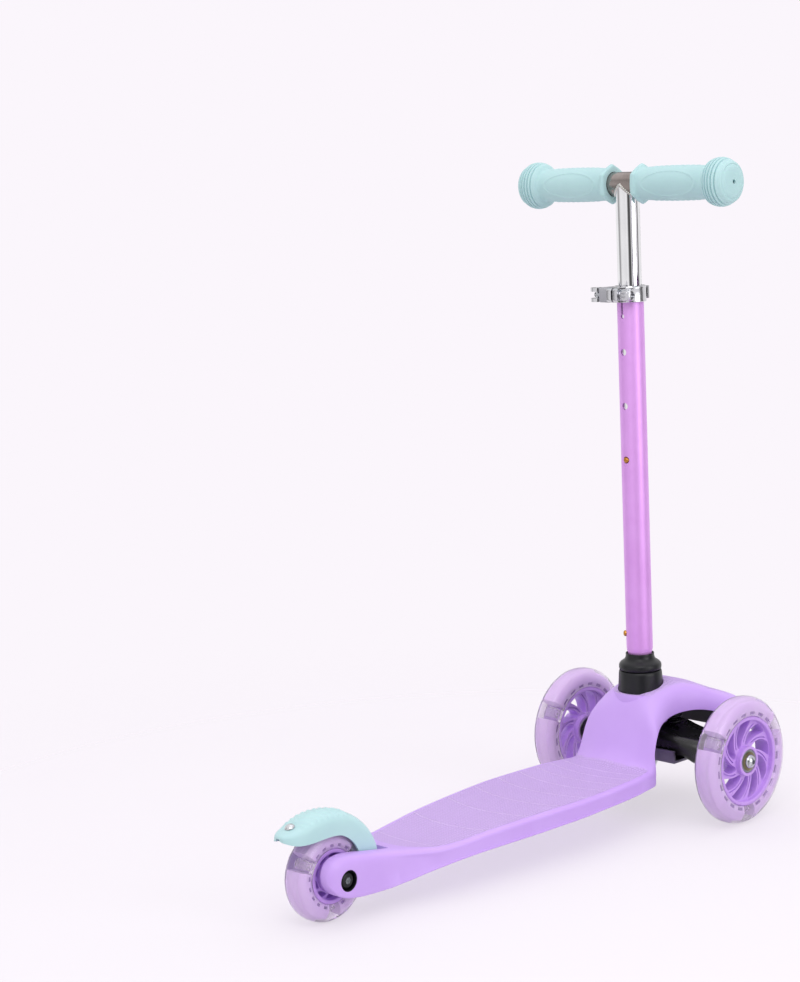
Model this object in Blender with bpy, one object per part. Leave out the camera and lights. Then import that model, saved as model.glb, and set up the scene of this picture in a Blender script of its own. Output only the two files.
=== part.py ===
"""Three-wheeled lean-to-steer kick scooter for small children.

Frame: metres, +X forward, +Y the rider's left, +Z up, floor at z = 0.
Working dimensions below are millimetres from the rear axle line, and are
shifted by X_MID and scaled to metres as each piece is made.
"""
import math

import bmesh
import bpy
import numpy as np
from mathutils import Vector
from mathutils.geometry import tessellate_polygon

MM = 0.001
X_MID = 235.5          # working x of the middle of the footprint
GAP = 0.3              # running and assembly clearance

# wheels
WHEELBASE = 440.6
FRONT_R, FRONT_Y, FRONT_HALF = 60.0, 98.6, 12.0
REAR_R, REAR_HALF = 40.0, 12.0
HUB_RING, HUB_FLANGE = 42.0, 50.0
REAR_RING, REAR_FLANGE = 23.4, 31.0
BEARING_R, BEARING_BORE, BEARING_W = 11.0, 4.0, 7.0
SPOKES = 9

# fork and brake
FORK_OUT, FORK_IN = 29.8, 17.0
PIVOT_X, PIVOT_Z = 50.0, 42.0

# steering truck
KING_DEG = 50.0        # kingpin rise, up and forward
KING_X, KING_Z = 440.6, 60.0

# stem
LEAN_DEG = 0.65        # rearward lean of the stem
STEM_X, STEM_Z = 417.9, 137.0
TUBE_R, TUBE_IN = 12.5, 11.5
CHROME_R, CHROME_IN = 11.1, 9.6
HOLES = (340.3, 391.0, 441.5)
BAR_Z = 596.5
BAR_HALF = 110.0
CLAMP_Z0, CLAMP_Z1 = 488.0, 503.0

for ob in list(bpy.data.objects):
    bpy.data.objects.remove(ob, do_unlink=True)

MATERIALS = {}


def material(name, colour, rough, metal=0.0):
    m = bpy.data.materials.new(name)
    m.use_nodes = True
    p = m.node_tree.nodes["Principled BSDF"]
    p.inputs["Base Color"].default_value = (*colour, 1.0)
    p.inputs["Roughness"].default_value = rough
    p.inputs["Metallic"].default_value = metal
    MATERIALS[name] = (colour, rough, metal)
    return m


LAVENDER = (0.62, 0.38, 0.85)
MAGENTA = (0.68, 0.31, 0.77)
MINT = (0.52, 0.77, 0.80)
BLACK = (0.018, 0.018, 0.022)
STEEL = (0.58, 0.58, 0.58)
CHROME = (0.80, 0.80, 0.82)
CLEAR = (0.72, 0.52, 0.88)
BRASS = (0.72, 0.48, 0.18)


def link(name, verts, faces, colour, rough, metal=0.0, pivot=(0.0, 0.0, 0.0),
         angle=35.0, visible=True):
    """One closed body from millimetre vertices in the working frame."""
    o = np.array(pivot, float)
    v = (np.asarray(verts, float) - o) * MM
    mesh = bpy.data.meshes.new(name)
    mesh.from_pydata([tuple(p) for p in v], [], [tuple(f) for f in faces])
    bm = bmesh.new()
    bm.from_mesh(mesh)
    bmesh.ops.remove_doubles(bm, verts=bm.verts, dist=1e-7)
    bmesh.ops.recalc_face_normals(bm, faces=bm.faces)
    bm.to_mesh(mesh)
    bm.free()
    ob = bpy.data.objects.new(name, mesh)
    ob.location = ((o[0] - X_MID) * MM, o[1] * MM, o[2] * MM)
    bpy.context.scene.collection.objects.link(ob)
    if visible:
        mesh.materials.append(material(name + "_finish", colour, rough, metal))
        mesh.polygons.foreach_set("use_smooth", [True] * len(mesh.polygons))
        mesh.set_sharp_from_angle(angle=math.radians(angle))
    else:
        ob.hide_render = True
        ob.display_type = "WIRE"
    return ob


def boolean(target, cutter, how="DIFFERENCE"):
    m = target.modifiers.new(cutter.name, "BOOLEAN")
    m.operation = how
    m.solver = "EXACT"
    m.object = cutter


def rings(stack, loop=False, cap=True):
    """Skin equal rings of points; loop joins the last ring to the first."""
    n = len(stack[0])
    verts = [tuple(p) for r in stack for p in r]
    faces = []
    last = len(stack) if loop else len(stack) - 1
    for i in range(last):
        a, b = i * n, ((i + 1) % len(stack)) * n
        for j in range(n):
            k = (j + 1) % n
            faces.append((a + j, a + k, b + k, b + j))
    if not loop and cap:
        faces.append(tuple(range(n)))
        faces.append(tuple((len(stack) - 1) * n + j for j in range(n)))
    return verts, faces


def basis(axis):
    a = np.array(axis, float)
    a /= np.linalg.norm(a)
    h = np.array((0.0, 0.0, 1.0)) if abs(a[2]) < 0.9 else np.array((1.0, 0.0, 0.0))
    u = h - a * h.dot(a)
    u /= np.linalg.norm(u)
    return u, np.cross(a, u), a


def turned(profile, centre, axis, seg, loop=False, shape=None, phase=0.0):
    """Turn (radius, along) pairs about an axis. A solid profile has its ends
    capped; loop makes a hollow ring. shape(i, theta) scales a radius."""
    u, w, a = basis(axis)
    c = np.array(centre, float)
    th = phase + np.arange(seg) * 2 * math.pi / seg
    stack = []
    for i, (r, s) in enumerate(profile):
        stack.append([
            c + a * s + (u * math.cos(t) + w * math.sin(t))
            * r * (shape(i, t) if shape else 1.0) for t in th
        ])
    return rings(stack, loop=loop)


def prism(outline, y0, y1, axis="y"):
    """Extrude an outline given in the two other axes."""
    def put(p, q, t):
        return {"y": (p, t, q), "x": (t, p, q), "z": (p, q, t)}[axis]
    return rings([[put(p, q, t) for p, q in outline] for t in (y0, y1)])


def pierced(outer, holes, y0, y1, centre):
    """Plate in the x-z plane with through holes, extruded along y."""
    loops = [outer] + holes
    flat = [(p[0] + centre[0], p[1] + centre[2]) for lp in loops for p in lp]
    tris = tessellate_polygon([[Vector((p[0], p[1], 0.0)) for p in lp] for lp in loops])
    n = len(flat)
    verts = [(x, centre[1] + y0, z) for x, z in flat] + [(x, centre[1] + y1, z) for x, z in flat]
    faces = [tuple(t) for t in tris] + [tuple(i + n for i in reversed(t)) for t in tris]
    start = 0
    for lp in loops:
        m = len(lp)
        for j in range(m):
            k = (j + 1) % m
            faces.append((start + j, start + k, start + k + n, start + j + n))
        start += m
    return verts, faces


def merge(*solids):
    verts, faces = [], []
    for v, f in solids:
        b = len(verts)
        verts += list(v)
        faces += [tuple(i + b for i in face) for face in f]
    return verts, faces


def box(x0, x1, y0, y1, z0, z1):
    return prism([(x0, z0), (x1, z0), (x1, z1), (x0, z1)], y0, y1)


def lean(points):
    """Turn stem pieces, modelled upright on STEM_X, to the stem's lean."""
    c, s = math.cos(math.radians(LEAN_DEG)), math.sin(math.radians(LEAN_DEG))
    p = np.asarray(points, float)
    x, z = p[:, 0] - STEM_X, p[:, 2] - STEM_Z
    return np.stack([STEM_X + c * x - s * z, p[:, 1], STEM_Z + s * x + c * z], 1)


def leant(name, solid, *args, **kw):
    if "pivot" in kw:
        kw["pivot"] = tuple(lean([kw["pivot"]])[0])
    return link(name, lean(solid[0]), solid[1], *args, **kw)


def curve(table, x):
    """Smooth monotone interpolation through a table of (x, value)."""
    xs = [t[0] for t in table]
    ys = [t[1] for t in table]
    if x <= xs[0]:
        return ys[0]
    if x >= xs[-1]:
        return ys[-1]
    i = max(j for j in range(len(xs) - 1) if xs[j] <= x)
    d = [(ys[j + 1] - ys[j]) / (xs[j + 1] - xs[j]) for j in range(len(xs) - 1)]

    def slope(j):
        if j == 0:
            return d[0]
        if j == len(xs) - 1:
            return d[-1]
        if d[j - 1] * d[j] <= 0:
            return 0.0
        return 2 * d[j - 1] * d[j] / (d[j - 1] + d[j])
    h = xs[i + 1] - xs[i]
    t = (x - xs[i]) / h
    m0, m1 = slope(i) * h, slope(i + 1) * h
    return ((2 * t ** 3 - 3 * t * t + 1) * ys[i] + (t ** 3 - 2 * t * t + t) * m0
            + (-2 * t ** 3 + 3 * t * t) * ys[i + 1] + (t ** 3 - t * t) * m1)


# ------------------------------------------------------------------ deck body
TOP = [(-20.5, 48.0), (-19.7, 51.0), (-17.9, 54.4), (-14, 58.0), (-8, 60.3), (-1, 60.9), (10, 59.8), (28, 56.6),
       (45, 53.8), (60, 51.4), (80, 49.0), (100, 47.0), (120, 47.6), (150, 50.0), (200, 52.2),
       (250, 53.2), (300, 53.6), (335, 54.0), (350, 54.8), (359, 56.8), (365, 60.8), (370, 67.0), (374.5, 75.0),
       (379.5, 85.4), (385, 96.4), (391, 107.5), (397, 115.0), (405, 120.0), (417, 123.2),
       (430, 125.6), (442, 126.6), (453, 124.6), (465, 119.6), (476, 114.6), (487, 110.4),
       (498, 106.2), (507, 102.0), (513, 97.5), (517.5, 91.5), (520.5, 84.0), (522, 74.0)]
BOTTOM = [(-20.5, 43.0), (-19.7, 39.8), (-17.9, 36.4), (-14, 31.6), (-8.9, 28.0), (-2, 25.4), (8, 23.4), (22, 22.0),
          (45, 21.2), (65, 23.2), (85, 27.0), (100, 29.6), (120, 32.0), (160, 34.0), (200, 35.0),
          (250, 36.8), (300, 38.0), (340, 38.4), (377, 38.6), (390, 52.0), (420, 60.0),
          (507, 62.0), (522, 63.0)]
WIDE = [(-20.5, 22.5), (-19.7, 24.4), (-17.9, 26.6), (-14, 28.6), (-8.9, 29.6), (-3.7, 29.8), (40, 29.8), (55, 31.0),
        (70, 34.2), (85, 38.4),
        (100, 42.6), (120, 46.6), (140, 49.0), (160, 51.2), (200, 55.0), (240, 58.4),
        (265, 59.8), (290, 59.2), (320, 57.6), (345, 55.0), (365, 51.0), (377, 48.6),
        (388, 45.4), (400, 41.6), (410, 38.8), (420, 37.6), (431, 39.0), (442, 42.8), (453, 48.4),
        (465, 55.4), (476, 61.2), (487, 64.2), (497, 64.8), (504, 63.2), (509, 59.6),
        (513, 54.0), (517.5, 43.0), (520.5, 28.0), (522, 15.0)]
SQUARE = [(-20.5, 5.0), (-12.3, 7.0), (60, 9.0), (120, 13.0), (330, 13.0), (350, 11.0), (360, 9.0),
          (370, 6.4), (380, 4.6), (390, 3.7), (398, 3.4), (406, 3.6), (418, 4.2), (442, 4.4), (455, 4.9), (480, 5.0),
          (500, 5.0), (512, 4.2), (522, 3.0)]
STATIONS = [-20.5, -19.7, -17.9, -14, -8, 0, 10, 24, 40, 55, 70, 85, 100, 120, 145, 175, 210, 245,
            280, 310, 335, 350, 358, 364, 370, 374, 378, 382, 386, 391, 397, 404, 414, 424, 434, 443,
            452, 461, 470, 479, 488, 497, 504, 509, 513, 517.5, 520.5, 522]


def section(x, inset=0.0, floor=None):
    """Closed y-z outline of the moulding at x: flat foot, upright sides and a
    crowned top whose squareness changes along the length. At the foot of the neck
    the sides rise further forward than the middle, so its footprint is rounded."""
    late = 20.0 * max(0.0, min(1.0, (387.0 - x) / 15.0))
    w = curve(WIDE, x) - inset
    zt = curve(TOP, x) - inset
    zb = curve(BOTTOM, x) if floor is None else floor
    n = curve(SQUARE, x)
    z0 = zb + 2.0 if floor is None else max(zb, min(zt - 12.0, 66.0))
    foot = 1.6
    half = [(w * 0.5, zb), (w - foot, zb), (w, zb + foot)]
    steps = 8
    for k in range(0, steps):
        a = math.radians(90.0 * k / steps)
        y = w * math.cos(a) ** (2.0 / n)
        peak = zt if x < 335 or late == 0.0 else min(zt, curve(TOP, x - late * (y / w) ** 2.2) - inset)
        low = min(z0, peak - 1.5)
        z = low + (peak - low) * math.sin(a) ** (2.0 / n)
        if k == 0:
            z = low + 0.05
        half.append((y, z))
    left = half
    right = [(-y, z) for y, z in reversed(half)]
    return [(x, y, z) for y, z in left] + [(x, 0.0, zt)] + [(x, y, z) for y, z in right] + [(x, 0.0, zb)]


deck = link("deck", *rings([section(x) for x in STATIONS]), LAVENDER, 0.42, angle=32)

# hood opening: everything below this rising and falling edge is open for the axle
ARCH = [(378.0, 30.0), (380.5, 60.0), (383.5, 73.0), (388.0, 83.0), (396.0, 90.2), (407.0, 94.4),
        (420.0, 96.8), (433.0, 98.2), (446.0, 98.4), (456.0, 97.0), (466.0, 94.0), (476.0, 89.0),
        (486.0, 82.4), (496.0, 75.0), (504.0, 68.6), (510.0, 65.0), (540.0, 63.0), (540.0, 30.0)]
boolean(deck, link("cut_arch", *prism(ARCH, -90, 90), LAVENDER, 0.4, visible=False))

# hollow of the hood and neck
HOLLOW = [388, 393, 399, 407, 417, 427, 437, 447, 457, 467, 477, 487, 496, 503, 508, 512, 515]
cav = [[(x, y, z) for x, y, z in section(x + (3.0 if x > 460 else -3.0 if x < 395 else 0.0), inset=3.6,
                                         floor=40.0)] for x in HOLLOW]
boolean(deck, link("cut_hood", *rings(cav), LAVENDER, 0.4, visible=False))

# stem boss under the top of the neck, then the socket bore
boolean(deck, link("add_boss", *turned([(25.4, 88.0), (25.4, 117.2)], (STEM_X, 0, 0), (0, 0, 1), 24),
                   LAVENDER, 0.4, visible=False), "UNION")
boolean(deck, link("cut_socket", lean(turned([(21.75, 91.0), (21.75, 150.0)], (STEM_X, 0, 0),
                                             (0, 0, 1), 24)[0]),
                   turned([(21.75, 91.0), (21.75, 150.0)], (STEM_X, 0, 0), (0, 0, 1), 24)[1],
                   LAVENDER, 0.4, visible=False))

# kingpin lug: a post from the hood's underside leaning back along the kingpin
KD = np.array((math.cos(math.radians(KING_DEG)), 0.0, math.sin(math.radians(KING_DEG))))
KC = np.array((KING_X, 0.0, KING_Z))
boolean(deck, link("add_lug", *turned([(11.0, 47.2), (11.0, 60.5)], KC, KD, 16), LAVENDER, 0.4,
                   visible=False), "UNION")
boolean(deck, link("cut_kingpin", *turned([(4.35, 20.0), (4.35, 53.0)], KC, KD, 12), LAVENDER, 0.4,
                   visible=False))

# wheel slot, brake pocket and its tongue, axle recesses
slot = [(-45, 10), (58.5, 10), (58.5, 75), (-45, 75)]
boolean(deck, link("cut_slot", *prism(slot, -FORK_IN, FORK_IN), LAVENDER, 0.4, visible=False))
boolean(deck, link("cut_foot", *box(50, 79, -12.0, 12.0, 5, 35.0), LAVENDER, 0.4, visible=False))
boolean(deck, link("cut_foot_screw", *turned([(1.9, 30.0), (1.9, 43.5)], (68.0, 0, 0), (0, 0, 1), 12), LAVENDER,
                   0.4, visible=False))
for side in (-1, 1):
    boolean(deck, link("cut_recess_%s" % ("r" if side < 0 else "l"),
                       *turned([(9.15, 22.5 * side), (9.15, 34.0 * side)], (0, 0, 40), (0, 1, 0), 20),
                       LAVENDER, 0.4, visible=False))
boolean(deck, link("cut_axle", *turned([(4.35, -26), (4.35, 26)], (0, 0, 40), (0, 1, 0), 12),
                   LAVENDER, 0.4, visible=False))

# pockets between the ribs under the tread
POCKETS = [(74, 116), (122, 176), (182, 236), (242, 296), (302, 348)]
cells = []
for a, b in POCKETS:
    for side in (-1, 1):
        low, high = 2.4, 3.8
        ya = min(curve(WIDE, x) for x in (a, (a + b) / 2, b)) - high
        zt = min(curve(TOP, x) for x in (a, (a + b) / 2, b)) - 4.0
        cells.append(box(a, b, min(low * side, ya * side), max(low * side, ya * side), 5, zt))
boolean(deck, link("cut_ribs", *merge(*cells), LAVENDER, 0.4, visible=False))

# --------------------------------------------------------------- stem socket
leant("stem_socket", turned([(13.0, 92.0), (20.9, 92.0), (21.4, 96.0), (21.4, 114.0), (20.9, 128.0),
                             (20.5, 136.0), (19.9, 137.2), (13.0, 137.2)],
                            (STEM_X, 0, 0), (0, 0, 1), 28, loop=True), BLACK, 0.38)
leant("stem_collar", turned([(13.0, 137.6), (19.4, 137.6), (20.1, 139.2), (20.2, 142.6), (18.9, 145.4),
                             (16.2, 146.8), (13.9, 148.2), (13.2, 150.4), (13.0, 153.6), (12.0, 153.6),
                             (12.0, 151.0), (13.0, 149.4)],
                            (STEM_X, 0, 0), (0, 0, 1), 28, loop=True), BLACK, 0.35)


# -------------------------------------------------------------------- wheels
def circle(r, n, phase=0.0):
    return [(r * math.cos(phase + 2 * math.pi * k / n), r * math.sin(phase + 2 * math.pi * k / n))
            for k in range(n)]


def swirl(r0, r1, width, k, count, sweep, steps=4):
    """One teardrop window between two swept spokes."""
    base = 2 * math.pi * k / count
    lead, trail = [], []
    for i in range(steps + 1):
        t = i / steps
        r = r0 + (r1 - r0) * t
        mid = base + sweep * t
        half = 0.5 * (2 * math.pi / count) - 0.5 * width / r
        half *= (0.62 + 0.38 * math.sin(math.pi * min(1.0, 0.15 + 0.85 * t)))
        lead.append((r * math.cos(mid + half), r * math.sin(mid + half)))
        trail.append((r * math.cos(mid - half), r * math.sin(mid - half)))
    return trail + list(reversed(lead))


def wheel(prefix, centre, side, radius, half, ring, flange, leds, boss):
    """Tyre, hub, two bearings, spacer and light capsules on one wheel centre."""
    c = np.array(centre, float)
    seg = 32
    a = (0.0, float(side), 0.0)
    bore = ring + GAP
    crown = [(bore, -half + 0.6), (bore, -6.3), (flange + GAP, -6.3), (flange + GAP, 6.3), (bore, 6.3),
             (bore, half - 0.6)]
    rise = radius - bore
    for t, s in ((0.08, 1.0), (0.58, 0.98), (0.87, 0.72), (1.0, 0.18)):
        crown.append((bore + rise * t, half * s))
    for t, s in ((1.0, -0.18), (0.87, -0.72), (0.58, -0.98), (0.08, -1.0)):
        crown.append((bore + rise * t, half * s))
    link(prefix + "_tyre", *turned(crown, c, a, seg, loop=True), CLEAR, 0.22, pivot=c)

    # hub: rim ring, notched flange with swept windows, and bearing boss
    notch = 0.5 * math.radians(20.0)
    outer = []
    if leds:
        for i in range(3):
            mid = 2 * math.pi * i / 3 + math.radians(30)
            for th in np.linspace(mid + notch, mid + 2 * math.pi / 3 - notch, 9):
                outer.append((flange * math.cos(th), flange * math.sin(th)))
            for th in np.linspace(mid + 2 * math.pi / 3 - notch, mid + 2 * math.pi / 3 + notch, 3):
                outer.append(((ring - 0.6) * math.cos(th), (ring - 0.6) * math.sin(th)))
    else:
        outer = circle(flange, seg)
    holes = [swirl(boss + 1.4, ring - 4.2, 3.4 if ring > 30 else 2.6, k, SPOKES,
                   (0.62 if ring > 30 else 0.25) * side, 3)
             for k in range(SPOKES)]
    web = pierced(outer, holes + [list(reversed(circle(boss - 1.0, 16)))], -5.9, 5.9, c)
    hub = link(prefix + "_hub", *web, LAVENDER, 0.36, pivot=c)
    rim = turned([(ring - 3.6, -10.6), (ring, -10.6), (ring, 10.6), (ring - 3.6, 10.6)], (0, 0, 0),
                 (0, 1, 0), seg, loop=True)
    rim_ob = link("add_%s_rim" % prefix, np.array(rim[0]) + c, rim[1], LAVENDER, 0.4, visible=False)
    boolean(hub, rim_ob, "UNION")
    core = turned([(8.6, -3.6), (11.25, -3.6), (11.25, -10.9), (boss, -10.9), (boss, 10.9), (11.25, 10.9),
                   (11.25, 3.6), (8.6, 3.6)], (0, 0, 0), (0, 1, 0), 16, loop=True)
    core_ob = link("add_%s_boss" % prefix, np.array(core[0]) + c, core[1], LAVENDER, 0.4, visible=False)
    boolean(hub, core_ob, "UNION")

    for tag, s in (("outer", 1.0), ("inner", -1.0)):
        lo, hi = sorted((3.8 * s * side, 10.7 * s * side))
        link("%s_bearing_%s" % (prefix, tag),
             *turned([(4.3, lo), (10.95, lo), (10.95, hi), (4.3, hi)], c, (0, 1, 0), 16, loop=True),
             STEEL, 0.3, 0.9, pivot=c)
    link(prefix + "_spacer", *turned([(4.4, -3.5), (7.9, -3.5), (7.9, 3.5), (4.4, 3.5)], c, (0, 1, 0), 12,
                                     loop=True), BLACK, 0.5, pivot=c)
    if leds:
        for i in range(3):
            mid = 2 * math.pi * i / 3 + math.radians(30)
            arc = []
            for th in np.linspace(mid - notch * 0.9, mid + notch * 0.9, 4):
                arc.append(((ring + 0.7) * math.cos(th), (ring + 0.7) * math.sin(th)))
            for th in np.linspace(mid + notch * 0.9, mid - notch * 0.9, 4):
                arc.append(((flange - 0.2) * math.cos(th), (flange - 0.2) * math.sin(th)))
            block = prism(arc, -5.6, 5.6)
            link("%s_light_%d" % (prefix, i + 1), np.array(block[0]) + c, block[1], (0.9, 0.9, 0.95), 0.2,
                 pivot=c)


wheel("front_wheel_right", (WHEELBASE, -FRONT_Y, FRONT_R), -1, FRONT_R, FRONT_HALF, HUB_RING, HUB_FLANGE,
      True, 14.0)
wheel("front_wheel_left", (WHEELBASE, FRONT_Y, FRONT_R), 1, FRONT_R, FRONT_HALF, HUB_RING, HUB_FLANGE,
      True, 14.0)
wheel("rear_wheel", (0.0, 0.0, REAR_R), -1, REAR_R, REAR_HALF, REAR_RING, REAR_FLANGE, True, 13.6)

# ---------------------------------------------------------------- rear axle
A = (0.0, 1.0, 0.0)
link("rear_axle_bolt", *turned([(6.6, -28.6), (6.6, -22.8), (3.85, -22.8), (3.85, 28.4)], (0, 0, 40), A, 16), BLACK, 0.35, 0.6)
link("rear_axle_nut", *turned([(4.15, 22.8), (6.9, 22.8), (6.9, 28.0), (4.15, 28.0)], (0, 0, 40), A, 12,
                              loop=True), BLACK, 0.35, 0.6)
for tag, s in (("right", -1), ("left", 1)):
    lo, hi = sorted((11.0 * s, 16.7 * s))
    link("rear_axle_spacer_%s" % tag, *turned([(4.2, lo), (6.4, lo), (6.4, hi), (4.2, hi)], (0, 0, 40), A, 16,
                                              loop=True), STEEL, 0.35, 0.9)

# --------------------------------------------------------------------- brake
RIDGE = [(-50.2, 82.8), (-48.6, 84.6), (-44.0, 86.2), (-37.0, 88.2), (-28.0, 91.8), (-17.0, 94.9),
         (-5.0, 95.6), (8.0, 94.0), (20.0, 90.2), (31.0, 84.0), (40.5, 75.5), (48.0, 65.5), (52.6, 56.0),
         (54.6, 47.5), (54.9, 42.5)]
SKIRT = [(-50.0, 80.6), (-49.0, 79.2), (-46.0, 77.6), (-40.5, 76.0), (-33.0, 75.2), (-23.0, 75.2),
         (-12.0, 75.8), (-1.5, 75.8), (7.0, 74.4), (14.0, 70.8), (19.6, 66.0), (23.8, 60.2), (26.4, 54.2),
         (27.4, 48.0), (27.5, 42.5)]
FENDER_W = [2.4, 5.6, 9.6, 12.8, 14.4, 15.2, 15.4, 15.4, 15.4, 15.4, 15.4, 15.4, 15.2, 15.0, 15.0]


def fender_ring(i):
    """Across the fender: crowned back running into deep side skirts."""
    r = np.array((RIDGE[i][0], 0.0, RIDGE[i][1]))
    e = np.array((SKIRT[i][0], 0.0, SKIRT[i][1]))
    d, w = r - e, FENDER_W[i]
    deep = np.linalg.norm(d)
    d = d / deep
    wall = min(2.2, 0.32 * deep)
    outer = [(0.0, 0.0), (0.42 * w, 0.03 * deep), (0.74 * w, 0.11 * deep), (0.93 * w, 0.26 * deep),
             (w, 0.5 * deep), (w, deep)]
    inner = [(w - wall, deep), (w - wall, 0.52 * deep + 0.3), (0.93 * w - wall, 0.27 * deep + wall * 0.6),
             (0.72 * w - wall * 0.5, 0.11 * deep + wall), (0.38 * w, 0.03 * deep + wall), (0.0, wall)]
    right = [r - d * k + np.array((0, y, 0)) for y, k in outer + inner]
    left = [p * np.array((1, -1, 1)) for p in right[1:-1]]
    return right + list(reversed(left))


fender = link("brake_fender", *rings([fender_ring(i) for i in range(len(RIDGE))]), MINT, 0.4,
              pivot=(PIVOT_X, 0, PIVOT_Z))
LEAF = [(-40.0, 81.2), (-35.0, 83.4), (-27.0, 86.8), (-16.5, 89.6), (-5.0, 90.4), (7.0, 88.8), (18.0, 85.2),
        (28.0, 79.8), (36.6, 71.8), (43.4, 62.6), (47.6, 53.6), (49.3, 45.0), (49.5, 38.0), (51.0, 34.7),
        (54.5, 34.4), (75.0, 34.4)]
leaf_in = []
for i, p in enumerate(LEAF):
    q, o = LEAF[min(i + 1, len(LEAF) - 1)], LEAF[max(i - 1, 0)]
    d = np.array((q[0] - o[0], q[1] - o[1]), float)
    d /= np.linalg.norm(d)
    leaf_in.append((p[0] + d[1] * 1.4, p[1] - d[0] * 1.4))
leaf = link("brake_leaf", *prism(LEAF + list(reversed(leaf_in)), -7.5, 7.5), STEEL, 0.32, 0.9,
            pivot=(PIVOT_X, 0, PIVOT_Z))
boolean(leaf, link("cut_leaf_screw", *turned([(2.0, 25), (2.0, 40)], (68.0, 0, 0), (0, 0, 1), 12), STEEL, 0.4,
                   visible=False))
link("brake_leaf_screw", *turned([(3.6, 30.3), (3.6, 32.6), (1.6, 32.6), (1.6, 43.0)], (68.0, 0, 0), (0, 0, 1),
                                 12), STEEL, 0.3, 1.0)
for tag, at, up, deep in (("tail", (-36.5, 0.0, 88.4), (-0.34, 0.0, 0.94), 6.8),
                          ("front", (52.9, 0.0, 55.4), (0.92, 0.0, 0.39), 6.4)):
    u = np.array(up) / np.linalg.norm(up)
    hole = turned([(1.9, -9), (1.9, 6)], at, u, 12)
    boolean(fender, link("cut_rivet_" + tag, *hole, MINT, 0.4, visible=False))
    boolean(leaf, link("cut_leaf_rivet_" + tag, *hole, STEEL, 0.4, visible=False))
    link("brake_rivet_" + tag, *turned([(1.4, 2.9), (3.3, 2.2), (4.4, 0.9), (4.4, 0.45), (1.6, 0.45),
                                        (1.6, -deep)], at, u, 12), STEEL, 0.28, 1.0,
         pivot=(PIVOT_X, 0, PIVOT_Z))


def helix(centre, axis, r, wire, pitch, turns, seg, around, start=0.0):
    u, w, a = basis(axis)
    c = np.array(centre, float)
    stack = []
    n = int(turns * seg)
    for i in range(n + 1):
        t = start + 2 * math.pi * i / seg
        out = u * math.cos(t) + w * math.sin(t)
        mid = c + out * r + a * (pitch * i / seg)
        stack.append([mid + (out * math.cos(p) + a * math.sin(p)) * wire
                      for p in np.arange(around) * 2 * math.pi / around])
    return rings(stack)


# ------------------------------------------------------------ steering truck
YAW = (0.0, 1.0, 0.0)


def slab(y, x0, x1, z0, z1, r):
    """Rounded x-z outline of the axle bridge at one y."""
    pts = []
    for cx, cz, a0 in ((x1 - r, z1 - r, 0), (x0 + r, z1 - r, 90), (x0 + r, z0 + r, 180), (x1 - r, z0 + r, 270)):
        for k in range(3):
            a = math.radians(a0 + 45 * k)
            pts.append((cx + r * math.cos(a), y, cz + r * math.sin(a)))
    return pts


half_bridge = [(0, 412, 466, 57.5, 84, 5), (18, 412, 466, 57.5, 83, 5), (30, 413, 467.5, 57.5, 80, 7),
               (46, 416, 467.5, 57.5, 77, 8), (60, 420.5, 463, 51.0, 74.5, 9), (74, 428, 453.5, 49.0, 72.4, 10),
               (85.4, 429, 452.2, 48.4, 71.6, 11)]
stack = [slab(-y, *r) for y, *r in reversed(half_bridge[1:])] + [slab(y, *r) for y, *r in half_bridge[1:]]
bridge = link("axle_bridge", *rings(stack), BLACK, 0.45, pivot=KC, angle=30)
boolean(bridge, link("cut_bridge_king", *turned([(4.6, -60), (4.6, 60)], KC, KD, 14), BLACK, 0.4,
                     visible=False))
for tag, s in (("r", -1), ("l", 1)):
    boolean(bridge, link("cut_bridge_axle_" + tag, *turned([(4.25, 60 * s), (4.25, 95 * s)],
                                                          (WHEELBASE, 0, FRONT_R), A, 12), BLACK, 0.4,
                         visible=False))
# steel cross channel carried on the bridge's underside
chan = [(409.0, 53.5), (471.0, 53.5), (471.0, 67.5), (469.0, 67.5), (469.0, 55.7), (411.0, 55.7), (411.0, 65.5),
        (409.0, 65.5)]
channel = link("axle_channel", *prism(chan, -46.0, 46.0), STEEL, 0.4, 0.9, pivot=KC)
boolean(channel, link("cut_channel", *turned([(4.6, -60), (4.6, 0)], KC, KD, 14), STEEL, 0.4, visible=False))
# rubber-like bush between bridge and lug
link("kingpin_bushing", *turned([(4.7, 40.9), (9.3, 40.9), (10.2, 43.4), (9.3, 46.8), (4.7, 46.8)], KC, KD, 16,
                                loop=True), BLACK, 0.6)
link("kingpin_bolt", *turned([(8.0, -21.5), (8.0, -16.0), (4.1, -16.0), (4.1, 51.0)], KC, KD, 14), STEEL, 0.3,
     1.0)
for tag, s in (("right", -1), ("left", 1)):
    link("steering_spring_" + tag, *helix((436.0, 27.0 * s, 84.0), (0, 0, 1), 5.6, 1.1, 5.05, 3.6, 9, 4),
         STEEL, 0.3, 1.0)
    c = (WHEELBASE, 0, FRONT_R)
    lo = [(1.2, 114.6), (3.6, 114.0), (5.6, 112.4), (6.4, 110.6), (6.4, 110.0), (4.0, 110.0), (4.0, 62.0)]
    link("axle_bolt_" + tag, *turned([(r, a * s) for r, a in lo], c, A, 14), STEEL, 0.22, 1.0, pivot=KC)
    a0, a1 = sorted((85.7 * s, 87.6 * s))
    link("axle_washer_" + tag, *turned([(4.3, a0), (7.4, a0), (7.4, a1), (4.3, a1)], c, A, 16, loop=True),
         STEEL, 0.3, 1.0, pivot=KC)

# ---------------------------------------------------------------- stem tube
tube = leant("stem_tube", turned([(10.9, 96.0), (10.9, 152.0), (12.4, 158.0), (12.5, 500.0), (TUBE_IN, 500.0),
                                  (TUBE_IN, 160.0), (9.9, 154.0), (9.9, 96.0)],
                                 (STEM_X, 0, 0), (0, 0, 1), 24, loop=True,
                                 phase=math.pi / 24), MAGENTA, 0.25)


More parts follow.
